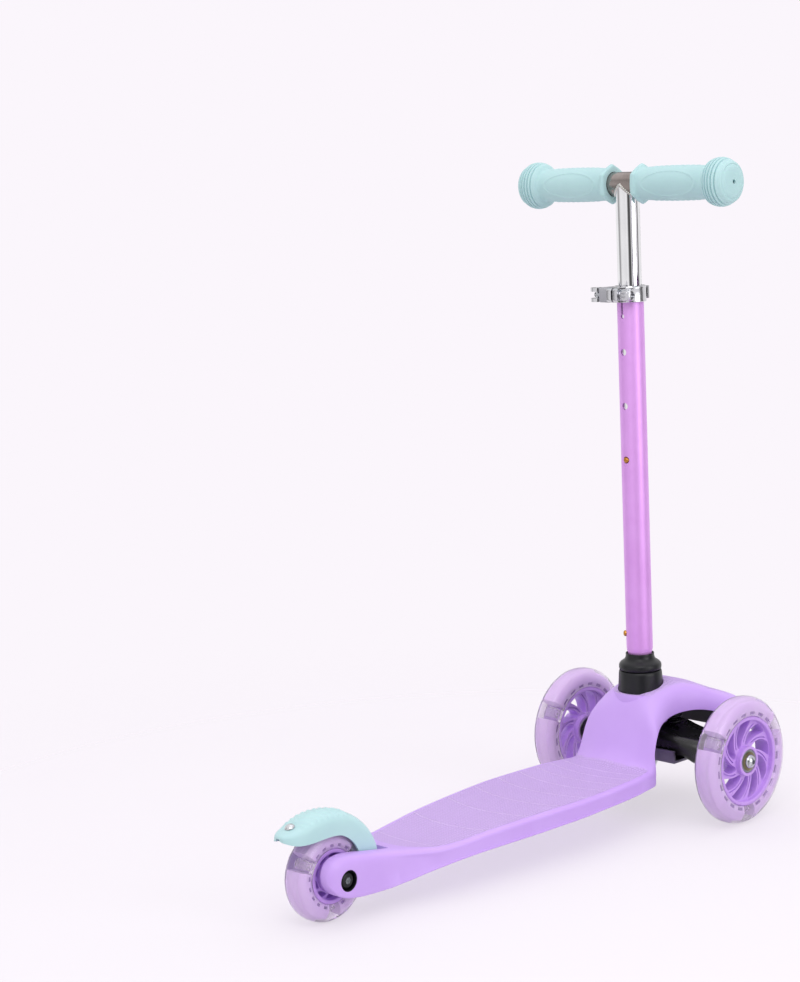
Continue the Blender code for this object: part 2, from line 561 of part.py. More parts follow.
def leant_cut(target, name, solid, colour=MAGENTA):
    boolean(target, link(name, lean(solid[0]), solid[1], colour, 0.4, visible=False))


leant_cut(tube, "cut_slit", box(STEM_X - 20, STEM_X - 5, -1.1, 1.1, 473, 510))
for i, z in enumerate(HOLES):
    leant_cut(tube, "cut_hole_%d" % i, turned([(3.3, 5.0), (3.3, 18.0)], (STEM_X, 0, z), (-1, 0, 0), 12))
REL = math.radians(130.0)
rel_axis = (math.cos(REL), math.sin(REL), 0.0)
leant_cut(tube, "cut_release", turned([(3.2, 5.0), (3.2, 18.0)], (STEM_X, 0, 172.5), rel_axis, 12))
leant("stem_release_button", turned([(2.4, 15.1), (2.8, 14.6), (2.8, 10.0), (4.3, 10.0), (4.3, 9.0)],
                                    (STEM_X, 0, 172.5), rel_axis, 12), BRASS, 0.3, 1.0,
      pivot=(STEM_X, 0, 172.5))

# quick-release clamp at the top of the tube
CL = 20.0              # clamp skewer distance behind the stem axis
clamp = leant("clamp_collar", turned([(12.85, CLAMP_Z0), (15.0, CLAMP_Z0), (15.0, CLAMP_Z1 - 1.6),
                                      (14.2, CLAMP_Z1), (12.85, CLAMP_Z1)][:5],
                                     (STEM_X, 0, 0), (0, 0, 1), 24, loop=True), CHROME, 0.2, 1.0)
for tag, s in (("r", -1), ("l", 1)):
    y0, y1 = sorted((1.0 * s, 6.4 * s))
    solid = prism([(STEM_X - 13.2, 488.8), (STEM_X - 25.0, 488.8), (STEM_X - 26.4, 490.2),
                   (STEM_X - 26.4, 500.8), (STEM_X - 25.0, 502.2), (STEM_X - 13.2, 502.2)], y0, y1)
    boolean(clamp, link("add_ear_" + tag, lean(solid[0]), solid[1], CHROME, 0.3, visible=False), "UNION")
leant_cut(clamp, "cut_gap", box(STEM_X - 30, STEM_X - 8, -1.0, 1.0, 480, 510), CHROME)
leant_cut(clamp, "cut_skewer", turned([(2.7, -12), (2.7, 12)], (STEM_X - CL, 0, 495.5), A, 12), CHROME)
leant("clamp_skewer", turned([(2.4, -17.5), (2.4, 25.5)], (STEM_X - CL, 0, 495.5), A, 12), STEEL, 0.3, 1.0)
leant("clamp_nut", turned([(2.7, -6.7), (5.5, -6.7), (5.5, -18.6), (4.8, -19.4), (2.7, -19.4)],
                          (STEM_X - CL, 0, 495.5), A, 16, loop=True), STEEL, 0.3, 1.0)
leant("clamp_cam_seat", pierced([(-6.0, -5.4), (-4.4, -7.0), (4.4, -7.0), (6.0, -5.4), (6.0, 5.4), (4.4, 7.0), (-4.4, 7.0),
                                 (-6.0, 5.4)], [circle(2.75, 12)], 6.7, 15.8, (STEM_X - CL, 0, 495.5)), (0.62, 0.62, 0.64), 0.35, 0.3)
# lever: forked cam knuckle, then a blade closing round the front of the tube
LX, LY = STEM_X - CL, 22.6
knuckle = [(LX + 6.4 * math.cos(math.radians(a)), LY + 6.2 * math.sin(math.radians(a)))
           for a in range(0, 360, 30)]
lever = leant("clamp_lever", prism(knuckle, 489.0, 502.0, "z"), CHROME, 0.25, 1.0,
              pivot=(LX, LY, 495.5))
path = [(LX + 2, LY + 2.5), (LX + 12, LY + 2.6), (LX + 22, LY + 0.4), (LX + 31, LY - 4.4), (LX + 38, LY - 12.0),
        (LX + 41.0, LY - 20.5), (LX + 41.4, LY - 27.0)]
blade_o, blade_i = [], []
for i, p in enumerate(path):
    q = path[min(i + 1, len(path) - 1)]
    o = path[max(i - 1, 0)]
    d = np.array((q[0] - o[0], q[1] - o[1]))
    d /= np.linalg.norm(d)
    nrm = np.array((-d[1], d[0]))
    blade_o.append(tuple(np.array(p) + nrm * 1.5))
    blade_i.append(tuple(np.array(p) - nrm * 1.5))
solid = prism(blade_o + list(reversed(blade_i)), 489.6, 501.4, "z")
boolean(lever, link("add_blade", lean(solid[0]), solid[1], CHROME, 0.3, visible=False), "UNION")
leant_cut(lever, "cut_fork", box(LX - 12, LX + 4.4, LY - 12, LY + 12, 492.4, 498.6), CHROME)
leant_cut(lever, "cut_lever_pin", turned([(2.3, 480), (2.3, 510)], (LX, LY, 0), (0, 0, 1), 12), CHROME)
leant("clamp_lever_pin", turned([(2.0, 489.2), (2.0, 501.8)], (LX, LY, 0), (0, 0, 1), 12), BRASS, 0.3, 1.0)
leant_cut(bpy.data.objects["clamp_skewer"], "cut_eye",
          turned([(2.35, 480), (2.35, 510)], (LX, LY, 0), (0, 0, 1), 12), STEEL)

# ---------------------------------------------------------------- handlebar
top = turned([(CHROME_R, 330.0), (CHROME_R, BAR_Z), (CHROME_IN, BAR_Z), (CHROME_IN, 330.0)], (STEM_X, 0, 0),
             (0, 0, 1), 24, loop=True, phase=math.pi / 24)
bar = leant("handlebar", top, CHROME, 0.12, 1.0, pivot=(STEM_X, 0, 330.0))
cross = turned([(CHROME_R, -BAR_HALF), (CHROME_R, BAR_HALF)], (STEM_X, 0, BAR_Z), A, 24)
boolean(bar, link("add_cross", lean(cross[0]), cross[1], CHROME, 0.2, visible=False), "UNION")
leant_cut(bar, "cut_cross_bore", turned([(CHROME_IN, -BAR_HALF - 5), (CHROME_IN, BAR_HALF + 5)],
                                        (STEM_X, 0, BAR_Z), A, 24), CHROME)
leant_cut(bar, "cut_button", turned([(3.1, 4.0), (3.1, 16.0)], (STEM_X, 0, HOLES[0]), (-1, 0, 0), 12), CHROME)
leant("height_button", turned([(1.4, 14.2), (2.5, 13.5), (2.8, 12.4), (2.8, 7.4), (4.4, 7.4), (4.4, 6.4)],
                              (STEM_X, 0, HOLES[0]), (-1, 0, 0), 12), BRASS, 0.3, 1.0,
      pivot=(STEM_X, 0, HOLES[0]))


def grip(tag, s):
    """Soft grip: hex flange, oval-backed sleeve and ribbed ball end."""
    prof = [(11.5, 15.5, 0), (16.4, 15.5, 1), (17.6, 16.6, 1), (17.6, 19.4, 1), (16.6, 20.6, 1), (14.8, 22.0, 0),
            (15.9, 60.0, 2), (15.2, 96.0, 0), (18.6, 98.6, 0), (21.6, 104.5, 0),
            (22.2, 112.0, 0), (20.4, 117.6, 0), (16.0, 121.2, 0), (11.0, 122.0, 0),
            (2.0, 122.0, 0), (2.0, 113.0, 0), (11.5, 113.0, 0)]

    def shape(i, t):
        kind = prof[i][2]
        if kind == 1:
            m = (t % (math.pi / 3)) - math.pi / 6
            return math.cos(math.pi / 6) / math.cos(m) * 1.06
        return 1.0
    leant("grip_" + tag, turned([(r, a * s) for r, a, _ in prof], (STEM_X, 0, BAR_Z), A, 24, loop=True,
                                shape=shape), MINT, 0.5, pivot=(STEM_X, 0, BAR_Z))


grip("right", -1)
grip("left", 1)
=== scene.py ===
"""Looks for the kick scooter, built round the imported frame.

Frame: metres, +X forward, +Y the rider's left, +Z up, floor at z = 0. Working dimensions are
millimetres from the rear axle line and are shifted by X_MID as each piece is made."""
import math
import bmesh
import bpy
import numpy as np
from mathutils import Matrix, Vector
from mathutils.geometry import tessellate_polygon


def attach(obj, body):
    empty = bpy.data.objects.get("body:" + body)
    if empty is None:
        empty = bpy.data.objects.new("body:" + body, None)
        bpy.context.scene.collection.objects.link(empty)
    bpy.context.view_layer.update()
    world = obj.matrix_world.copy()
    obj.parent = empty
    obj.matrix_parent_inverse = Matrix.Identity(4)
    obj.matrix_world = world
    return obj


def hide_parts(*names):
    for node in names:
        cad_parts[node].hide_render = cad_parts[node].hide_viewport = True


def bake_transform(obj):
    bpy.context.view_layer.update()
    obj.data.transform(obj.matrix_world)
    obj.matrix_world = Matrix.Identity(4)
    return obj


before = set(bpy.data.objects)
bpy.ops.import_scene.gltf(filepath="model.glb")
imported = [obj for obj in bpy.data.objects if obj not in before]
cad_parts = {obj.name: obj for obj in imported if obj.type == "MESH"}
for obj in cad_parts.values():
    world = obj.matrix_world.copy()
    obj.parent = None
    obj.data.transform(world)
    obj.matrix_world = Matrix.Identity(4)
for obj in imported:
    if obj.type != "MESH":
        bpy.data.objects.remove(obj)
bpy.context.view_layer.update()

MM, X_MID = 0.001, 235.5
WHEELBASE = 440.6
FRONT_R, FRONT_Y = 60.0, 98.6
REAR_R = 40.0
FORK_IN = 17.0
KING_X, KING_Z, KING_DEG = 440.6, 60.0, 50.0
LEAN_DEG, STEM_X, STEM_Z = 0.65, 417.9, 137.0
HOLES = (340.3, 391.0, 441.5)
BAR_Z, BAR_HALF = 596.5, 110.0
SCENE = bpy.context.scene
COL = SCENE.collection


# ------------------------------------------------------------------ materials
class Nodes:
    """A material's node tree with a few short cuts."""

    def __init__(self, name):
        self.m = bpy.data.materials.new(name)
        self.m.use_nodes = True
        self.t = self.m.node_tree
        self.p = self.t.nodes["Principled BSDF"]
        self.co = self.t.nodes.new("ShaderNodeTexCoord").outputs["Object"]

    def new(self, kind, **values):
        n = self.t.nodes.new(kind)
        for k, v in values.items():
            setattr(n, k, v)
        return n

    def join(self, a, b):
        self.t.links.new(a, b)

    def noise(self, scale, detail=3.0, rough=0.5, stretch=None):
        n = self.new("ShaderNodeTexNoise")
        n.inputs["Scale"].default_value = scale
        n.inputs["Detail"].default_value = detail
        n.inputs["Roughness"].default_value = rough
        src = self.co
        if stretch:
            mp = self.new("ShaderNodeMapping")
            mp.inputs["Scale"].default_value = stretch
            self.join(self.co, mp.inputs["Vector"])
            src = mp.outputs["Vector"]
        self.join(src, n.inputs["Vector"])
        return n.outputs["Fac"]

    def math(self, op, a, b=None, c=None, clamp=False):
        n = self.new("ShaderNodeMath", operation=op, use_clamp=clamp)
        for i, v in enumerate((a, b, c)):
            if v is None:
                continue
            if isinstance(v, (int, float)):
                n.inputs[i].default_value = v
            else:
                self.join(v, n.inputs[i])
        return n.outputs[0]

    def span(self, v, a, b, lo, hi, smooth=True):
        n = self.new("ShaderNodeMapRange")
        n.interpolation_type = "SMOOTHSTEP" if smooth else "LINEAR"
        for k, x in zip(("From Min", "From Max", "To Min", "To Max"), (a, b, lo, hi)):
            n.inputs[k].default_value = x
        self.join(v, n.inputs["Value"])
        return n.outputs["Result"]

    def mix(self, fac, a, b):
        n = self.new("ShaderNodeMix", data_type="RGBA")
        for i, v in ((0, fac), (6, a), (7, b)):
            if isinstance(v, (int, float)):
                n.inputs[i].default_value = v
            elif isinstance(v, tuple):
                n.inputs[i].default_value = (*v, 1.0)
            else:
                self.join(v, n.inputs[i])
        return n.outputs[2]

    def bump(self, height, strength, distance, prev=None):
        n = self.new("ShaderNodeBump")
        n.inputs["Strength"].default_value = strength
        n.inputs["Distance"].default_value = distance
        self.join(height, n.inputs["Height"])
        if prev is not None:
            self.join(prev, n.inputs["Normal"])
        return n.outputs["Normal"]

    def xyz(self):
        n = self.new("ShaderNodeSeparateXYZ")
        self.join(self.co, n.inputs[0])
        return n.outputs

    def set(self, **kw):
        for k, v in kw.items():
            self.p.inputs[k.replace("_", " ")].default_value = v


def lin(*c):
    """sRGB 0-255 to linear."""
    return tuple((v / 255 / 12.92) if v / 255 <= 0.04045 else ((v / 255 + 0.055) / 1.055) ** 2.4 for v in c)


def plastic(name, base, deep, rough, grain=900.0, depth=0.00012, strength=0.25, spec=0.5, sub=0.0, sheen=0.0):
    """Moulded plastic: slow tone drift, fine pebble grain, and uneven gloss."""
    n = Nodes(name)
    drift = n.noise(9.0, 4.0, 0.6)
    n.join(n.mix(n.span(drift, 0.32, 0.68, 0.0, 1.0), base, deep), n.p.inputs["Base Color"])
    fine = n.noise(grain, 2.0, 0.55)
    blotch = n.noise(45.0, 3.0, 0.6)
    n.join(n.span(blotch, 0.3, 0.7, rough - 0.045, rough + 0.045), n.p.inputs["Roughness"])
    n.join(n.bump(fine, strength, depth), n.p.inputs["Normal"])
    n.p.inputs["Specular IOR Level"].default_value = spec
    if sub:
        n.p.inputs["Subsurface Weight"].default_value = sub
        n.p.inputs["Subsurface Radius"].default_value = (1.0, 0.7, 1.0)
        n.p.inputs["Subsurface Scale"].default_value = 0.0025
    return n


def metal(name, base, deep, rough, stretch=None, scale=60.0, strength=0.08):
    """Plated or brushed metal: fine marks, thumb-scale haze."""
    n = Nodes(name)
    haze = n.noise(35.0, 4.0, 0.6)
    n.join(n.mix(n.span(haze, 0.3, 0.75, 0.0, 1.0), base, deep), n.p.inputs["Base Color"])
    marks = n.noise(scale, 6.0, 0.7, stretch)
    n.join(n.span(marks, 0.25, 0.8, max(0.03, rough - 0.04), rough + 0.06), n.p.inputs["Roughness"])
    n.join(n.bump(marks, strength, 0.00008), n.p.inputs["Normal"])
    n.p.inputs["Metallic"].default_value = 1.0
    return n


LAV, LAV_D = lin(206, 170, 243), lin(200, 162, 238)
LAV_M = plastic("lavender_moulding", LAV, LAV_D, 0.42, 1400.0, 0.00008, 0.22, 0.42, sub=0.06)
# near-black material that stands in for the shade inside the hollow under the hood (painted shade)
SHADE = plastic("under_hood_painted_shade", lin(16, 14, 19), lin(12, 11, 14), 0.5)
HUB = plastic("hub_moulding", lin(206, 164, 243), lin(196, 152, 234), 0.3, 1500.0, 0.00005, 0.12, 0.5, sub=0.05)
CORE = plastic("flange_moulding", lin(238, 215, 252), lin(231, 206, 249), 0.34, 1500.0, 0.00004, 0.08, 0.4, sub=0.15)
# darker purple for the floors of the core's window pockets: painted shade
POCKET_SHADE = plastic("flange_pocket_shade", lin(160, 126, 190), lin(146, 112, 178), 0.45)
MINT = plastic("mint_moulding", lin(189, 224, 226), lin(181, 216, 220), 0.4, 1300.0, 0.00006, 0.15, 0.45, sub=0.06)
GRIP = plastic("grip_rubber", lin(190, 224, 226), lin(180, 215, 218), 0.56, 1100.0, 0.0001, 0.3, 0.35, sub=0.08)
BLACK = plastic("black_moulding", lin(22, 23, 27), lin(16, 17, 21), 0.36, 900.0, 0.0001, 0.2, 0.36)
DARK = plastic("black_bridge", lin(20, 19, 22), lin(14, 14, 16), 0.3, 700.0, 0.00015, 0.3, 0.5)
RUBBER = plastic("bushing_rubber", lin(28, 28, 29), lin(20, 20, 21), 0.7, 500.0, 0.0002, 0.4, 0.3)
TUBE = metal("anodised_tube", lin(226, 166, 240), lin(220, 158, 234), 0.42, (1, 1, 0.03), 900.0, 0.06)
TUBE.set(Metallic=0.35)
CHROME = metal("chrome_tube", lin(244, 244, 246), lin(236, 236, 238), 0.07, (1, 1, 0.05), 700.0, 0.03)
CLAMP = metal("chrome_clamp", lin(226, 226, 229), lin(205, 205, 210), 0.16, None, 300.0, 0.08)
BOLT = metal("zinc_bolt", lin(214, 216, 220), lin(190, 192, 197), 0.24, None, 400.0, 0.1)
ZINC = metal("yellow_zinc", lin(158, 148, 118), lin(124, 114, 88), 0.36, None, 350.0, 0.12)
STEEL = metal("bearing_steel", lin(178, 180, 184), lin(150, 152, 157), 0.3, None, 350.0, 0.12)
SHEET = metal("plated_sheet", lin(150, 150, 154), lin(118, 118, 122), 0.38, (0.2, 2, 1), 260.0, 0.15)
SPRING = metal("spring_wire", lin(196, 197, 200), lin(160, 161, 165), 0.25, None, 500.0, 0.1)
# near-black for the steering coils so they sit in the shade under the hood: painted shade
COIL_SHADE = metal("steering_coil_painted_shade", lin(58, 57, 60), lin(40, 39, 42), 0.4, None, 500.0, 0.1)
BRASS = metal("brass_button", lin(204, 150, 74), lin(170, 112, 48), 0.25, None, 400.0, 0.1)
COIL = plastic("light_coil", lin(214, 196, 226), lin(190, 170, 205), 0.35, 900.0, 0.0001, 0.2)
SEAT = plastic("cam_seat", lin(176, 176, 182), lin(160, 160, 166), 0.4, 800.0, 0.0001, 0.2)

CLEAR = Nodes("clear_tyre")
CLEAR.set(Base_Color=(*lin(244, 232, 251), 1.0), IOR=1.13, Transmission_Weight=0.84, Coat_Weight=0.75, Coat_IOR=1.5)
CLEAR.join(CLEAR.span(CLEAR.noise(60.0, 3.0, 0.6), 0.3, 0.7, 0.02, 0.08), CLEAR.p.inputs["Roughness"])
CLEAR.join(CLEAR.span(CLEAR.noise(35.0, 3.0, 0.6), 0.3, 0.7, 0.08, 0.2), CLEAR.p.inputs["Coat Roughness"])
CLEAR.join(CLEAR.bump(CLEAR.noise(160.0, 2.0, 0.5), 0.05, 0.0002), CLEAR.p.inputs["Normal"])
LENS = Nodes("light_lens")
LENS.set(Base_Color=(*lin(246, 240, 250), 1.0), IOR=1.12, Transmission_Weight=0.8)
LENS.join(LENS.span(LENS.noise(200.0, 3.0, 0.6), 0.3, 0.7, 0.05, 0.2), LENS.p.inputs["Roughness"])


def tread_material():
    """Deck top: pebble cells inside the tread outline, arcs that bow towards the tail, raised border; painted shade in
    the pebble grooves and a painted highlight on the arcs.
    """
    n = plastic("deck_tread", LAV, LAV_D, 0.42, 1400.0, 0.00008, 0.22, 0.42, sub=0.06)
    x, y, z = n.xyz()
    # arcs: rings about points ahead of the tread
    total = None
    r = 0.120
    for xc in ARC_X:
        dx = n.math("SUBTRACT", x, xc + r)
        d = n.math("SQRT", n.math("ADD", n.math("MULTIPLY", dx, dx), n.math("MULTIPLY", y, y)))
        off = n.math("ABSOLUTE", n.math("SUBTRACT", d, r))
        front = n.math("LESS_THAN", dx, 0.0)
        line = n.math("MULTIPLY", n.span(off, 0.0004, 0.0011, 1.0, 0.0), front)
        total = line if total is None else n.math("MAXIMUM", total, line)
    # inside the tread: half width follows the deck's own outline
    ramp = n.new("ShaderNodeFloatCurve")
    c = ramp.mapping.curves[0]
    x0, x1 = TREAD_X
    pts = [((a / 1000 - X_MID / 1000 - x0) / (x1 - x0), w) for a, w in TREAD_W]
    c.points[0].location, c.points[1].location = pts[0], pts[-1]
    for p in pts[1:-1]:
        c.points.new(*p)
    ramp.mapping.update()
    n.join(n.span(x, x0, x1, 0.0, 1.0, smooth=False), ramp.inputs["Value"])
    half = n.math("MULTIPLY", ramp.outputs["Value"], 0.06)
    edge = n.math("SUBTRACT", half, n.math("ABSOLUTE", y))
    inside = n.span(edge, -0.0003, 0.0007, 0.0, 1.0)
    geo = n.new("ShaderNodeNewGeometry")
    sep = n.new("ShaderNodeSeparateXYZ")
    n.join(geo.outputs["Normal"], sep.inputs[0])
    upward = n.span(sep.outputs[2], 0.80, 0.93, 0.0, 1.0)
    inside = n.math("MULTIPLY", inside, upward)
    vor = n.new("ShaderNodeTexVoronoi", feature="DISTANCE_TO_EDGE")
    vor.inputs["Scale"].default_value = 330.0
    vor.inputs["Randomness"].default_value = 0.25
    flat = n.new("ShaderNodeMapping")
    flat.inputs["Scale"].default_value = (1.0, 1.0, 0.0)
    n.join(n.co, flat.inputs["Vector"])
    n.join(flat.outputs["Vector"], vor.inputs["Vector"])
    cells = n.span(vor.outputs["Distance"], 0.03, 0.24, 0.0, 1.0)
    pebble = n.math("MULTIPLY", cells, n.math("MULTIPLY", inside, n.math("SUBTRACT", 1.0, total)))
    arcs = n.math("MULTIPLY", total, inside)
    rim = n.math("SUBTRACT", 1.0, inside)
    h = n.math("ADD", n.math("MULTIPLY", pebble, 0.45), n.math("ADD", n.math("MULTIPLY", arcs, 1.0),
                                                               n.math("MULTIPLY", rim, 0.62)))
    old = n.p.inputs["Normal"].links[0].from_socket
    n.join(n.bump(h, 1.0, 0.0011, old), n.p.inputs["Normal"])
    base = n.p.inputs["Base Color"].links[0].from_socket
    hollow = n.math("SUBTRACT", 1.0, cells)
    # the tread area takes a lighter tone, then its pebble grooves are darkened as painted shade
    tread_tone_and_groove_shade = n.mix(n.math("MULTIPLY", inside, 0.55), base, lin(212, 186, 237))
    tread_tone_and_groove_shade = n.mix(n.math("MULTIPLY", n.math("MULTIPLY", inside, hollow), 0.42), tread_tone_and_groove_shade, lin(184, 156, 214))
    # painted highlight: the raised arcs are lightened
    lit = n.mix(n.math("MULTIPLY", arcs, 0.65), tread_tone_and_groove_shade, lin(226, 200, 250))
    n.join(lit, n.p.inputs["Base Color"])
    ro = n.p.inputs["Roughness"].links[0].from_socket
    n.join(n.math("ADD", ro, n.math("MULTIPLY", inside, 0.13)), n.p.inputs["Roughness"])
    return n


ARC_X = [(a - X_MID) / 1000 for a in (92, 143, 189, 227, 260, 288, 311, 330, 346)]
TREAD_X = (70 / 1000 - X_MID / 1000, 372 / 1000 - X_MID / 1000)
TREAD_W = [(70, 0.0), (73, 0.28), (78, 0.40), (86, 0.49), (100, 0.60), (120, 0.675), (160, 0.76), (200, 0.825),
           (240, 0.88), (265, 0.905), (300, 0.885), (340, 0.83), (360, 0.78), (372, 0.74)]
TREAD = tread_material()


# -------------------------------------------------------------------- geometry
def rings(stack, loop=False, cap=True):
    n = len(stack[0])
    verts = [tuple(p) for r in stack for p in r]
    faces = []
    for i in range(len(stack) if loop else len(stack) - 1):
        a, b = i * n, ((i + 1) % len(stack)) * n
        for j in range(n):
            k = (j + 1) % n
            faces.append((a + j, a + k, b + k, b + j))
    if not loop and cap:
        faces += [tuple(range(n)), tuple((len(stack) - 1) * n + j for j in range(n))]
    return verts, faces


def basis(axis):
    a = np.array(axis, float)
    a /= np.linalg.norm(a)
    h = np.array((0.0, 0.0, 1.0)) if abs(a[2]) < 0.9 else np.array((1.0, 0.0, 0.0))
    u = h - a * h.dot(a)
    u /= np.linalg.norm(u)
    return u, np.cross(a, u), a


def turned(profile, centre, axis, seg, loop=False, shape=None, phase=0.0):
    u, w, a = basis(axis)
    c = np.array(centre, float)
    th = phase + np.arange(seg) * 2 * math.pi / seg
    stack = [[c + a * s + (u * math.cos(t) + w * math.sin(t)) * r * (shape(i, t, s) if shape else 1.0)
              for t in th] for i, (r, s) in enumerate(profile)]
    return rings(stack, loop=loop)


def prism(outline, y0, y1, axis="y"):
    def put(p, q, t):
        return {"y": (p, t, q), "x": (t, p, q), "z": (p, q, t)}[axis]
    return rings([[put(p, q, t) for p, q in outline] for t in (y0, y1)])


def pierced(outer, holes, y0, y1, centre):
    loops = [outer] + holes
    flat = [(p[0] + centre[0], p[1] + centre[2]) for lp in loops for p in lp]
    tris = tessellate_polygon([[Vector((p[0], p[1], 0.0)) for p in lp] for lp in loops])
    n = len(flat)
    verts = [(x, centre[1] + y0, z) for x, z in flat] + [(x, centre[1] + y1, z) for x, z in flat]
    faces = [tuple(t) for t in tris] + [tuple(i + n for i in reversed(t)) for t in tris]
    start = 0
    for lp in loops:
        m = len(lp)
        for j in range(m):
            k = (j + 1) % m
            faces.append((start + j, start + k, start + k + n, start + j + n))
        start += m
    return verts, faces


def box(x0, x1, y0, y1, z0, z1):
    return prism([(x0, z0), (x1, z0), (x1, z1), (x0, z1)], y0, y1)


def lean(points):
    c, s = math.cos(math.radians(LEAN_DEG)), math.sin(math.radians(LEAN_DEG))
    p = np.asarray(points, float)
    x, z = p[:, 0] - STEM_X, p[:, 2] - STEM_Z
    return np.stack([STEM_X + c * x - s * z, p[:, 1], STEM_Z + s * x + c * z], 1)


def leant(solid):
    return lean(solid[0]), solid[1]


def smooth_line(points, steps=6, closed=False):
    """Catmull-Rom through 2-D points."""
    p = [np.array(q, float) for q in points]
    n = len(p)
    out = []
    for i in range(n if closed else n - 1):
        a, b, c, d = (p[(i + k) % n] if closed else p[min(max(i + k, 0), n - 1)] for k in (-1, 0, 1, 2))
        for k in range(steps):
            t = k / steps
            out.append(tuple(0.5 * ((2 * b) + (c - a) * t + (2 * a - 5 * b + 4 * c - d) * t * t
                                    + (3 * b - a - 3 * c + d) * t ** 3)))
    if not closed:
        out.append(tuple(p[-1]))
    return out


def curve(table, x):
    xs = [t[0] for t in table]
    ys = [t[1] for t in table]
    if x <= xs[0]:
        return ys[0]
    if x >= xs[-1]:
        return ys[-1]
    i = max(j for j in range(len(xs) - 1) if xs[j] <= x)
    d = [(ys[j + 1] - ys[j]) / (xs[j + 1] - xs[j]) for j in range(len(xs) - 1)]

    def slope(j):
        if j == 0:
            return d[0]
        if j == len(xs) - 1:
            return d[-1]
        if d[j - 1] * d[j] <= 0:
            return 0.0
        return 2 * d[j - 1] * d[j] / (d[j - 1] + d[j])
    h = xs[i + 1] - xs[i]
    t = (x - xs[i]) / h
    m0, m1 = slope(i) * h, slope(i + 1) * h
    return ((2 * t ** 3 - 3 * t * t + 1) * ys[i] + (t ** 3 - 2 * t * t + t) * m0
            + (-2 * t ** 3 + 3 * t * t) * ys[i + 1] + (t ** 3 - t * t) * m1)


def raw(name, solid):
    """A mesh object from millimetre vertices in the working frame."""
    v = (np.asarray(solid[0], float) - (X_MID, 0, 0)) * MM
    me = bpy.data.meshes.new(name)
    me.from_pydata([tuple(p) for p in v], [], [tuple(int(i) for i in f) for f in solid[1]])
    bm = bmesh.new()
    bm.from_mesh(me)
    bmesh.ops.remove_doubles(bm, verts=bm.verts, dist=1e-7)
    bmesh.ops.recalc_face_normals(bm, faces=bm.faces)
    bm.to_mesh(me)
    bm.free()
    ob = bpy.data.objects.new(name, me)
    COL.objects.link(ob)
    return ob


def cut(ob, solid, how="DIFFERENCE"):
    cutter = raw("cutter", solid)
    m = ob.modifiers.new("b", "BOOLEAN")
    m.operation, m.solver, m.object = how, "EXACT", cutter
    bake(ob)
    bpy.data.objects.remove(cutter)


def bake(ob):
    """Turn an object's modifiers into its mesh."""
    dg = bpy.context.evaluated_depsgraph_get()
    dg.update()
    me = bpy.data.meshes.new_from_object(ob.evaluated_get(dg), depsgraph=dg)
    me.name = ob.name
    old = ob.data
    ob.modifiers.clear()
    ob.data = me
    bpy.data.meshes.remove(old)


def finish_piece(ob, mat, body, angle=35.0, bevel=0.0, seg=2, limit=30.0, slot=None, replaces=()):
    if bevel:
        b = ob.modifiers.new("edges", "BEVEL")
        b.width, b.segments, b.limit_method, b.angle_limit = bevel * MM, seg, "ANGLE", math.radians(limit)
        b.harden_normals = False
        bake(ob)
    ob.data.materials.clear()
    for m in (mat if isinstance(mat, (list, tuple)) else [mat]):
        ob.data.materials.append(m.m)
    ob.data.polygons.foreach_set("use_smooth", [True] * len(ob.data.polygons))
    ob.data.set_sharp_from_angle(angle=math.radians(angle))
    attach(ob, body)
    if replaces:
        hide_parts(*replaces)
    return ob


def piece(name, solid, mat, body, **kw):
    return finish_piece(raw(name, solid), mat, body, **kw)


Y = (0.0, 1.0, 0.0)
KD = np.array((math.cos(math.radians(KING_DEG)), 0.0, math.sin(math.radians(KING_DEG))))
KC = np.array((KING_X, 0.0, KING_Z))

# ------------------------------------------------------------------ deck body
TOP = [(-20.5, 48.0), (-19.7, 51.0), (-17.9, 54.4), (-14, 58.0), (-8, 60.3), (-1, 60.9), (10, 59.8), (28, 56.6),
       (45, 53.8), (60, 51.4), (80, 49.0), (100, 47.0), (120, 47.6), (150, 50.0), (200, 52.2),
       (250, 53.2), (300, 53.6), (335, 54.0), (350, 54.8), (359, 56.8), (365, 60.8), (370, 67.0), (374.5, 75.0),
       (379.5, 85.4), (385, 96.4), (391, 107.5), (397, 115.0), (405, 120.0), (417, 123.2),
       (430, 125.6), (442, 126.6), (453, 124.6), (465, 119.6), (476, 114.6), (487, 110.4),
       (498, 106.2), (507, 102.0), (513, 97.5), (517.5, 91.5), (520.5, 84.0), (522, 74.0)]
BOTTOM = [(-20.5, 43.0), (-19.7, 39.8), (-17.9, 36.4), (-14, 31.6), (-8.9, 28.0), (-2, 25.4), (8, 23.4), (22, 22.0),
          (45, 21.2), (65, 23.2), (85, 27.0), (100, 29.6), (120, 32.0), (160, 34.0), (200, 35.0),
          (250, 36.8), (300, 38.0), (340, 38.4), (377, 38.6), (390, 52.0), (420, 60.0),
          (507, 62.0), (522, 63.0)]
WIDE = [(-20.5, 22.5), (-19.7, 24.4), (-17.9, 26.6), (-14, 28.6), (-8.9, 29.6), (-3.7, 29.8), (40, 29.8), (55, 31.0),
        (70, 34.2), (85, 38.4), (100, 42.6), (120, 46.6), (140, 49.0), (160, 51.2), (200, 55.0), (240, 58.4),
        (265, 59.8), (290, 59.2), (320, 57.6), (345, 55.0), (365, 51.0), (377, 48.6),
        (388, 45.4), (400, 41.6), (410, 38.8), (420, 37.6), (431, 39.0), (442, 42.8), (453, 48.4),
        (465, 55.4), (476, 61.2), (487, 64.2), (497, 64.8), (504, 63.2), (509, 59.6),
        (513, 54.0), (517.5, 43.0), (520.5, 28.0), (522, 15.0)]
SQUARE = [(-20.5, 5.0), (-12.3, 7.0), (60, 9.0), (120, 13.0), (330, 13.0), (350, 11.0), (360, 9.0),
          (370, 6.4), (380, 4.6), (390, 3.7), (398, 3.4), (406, 3.6), (418, 4.2), (442, 4.4), (455, 4.9), (480, 5.0),
          (500, 5.0), (512, 4.2), (522, 3.0)]
LIP = [(40, 0.0), (90, 1.0), (330, 1.0), (362, 0.0)]


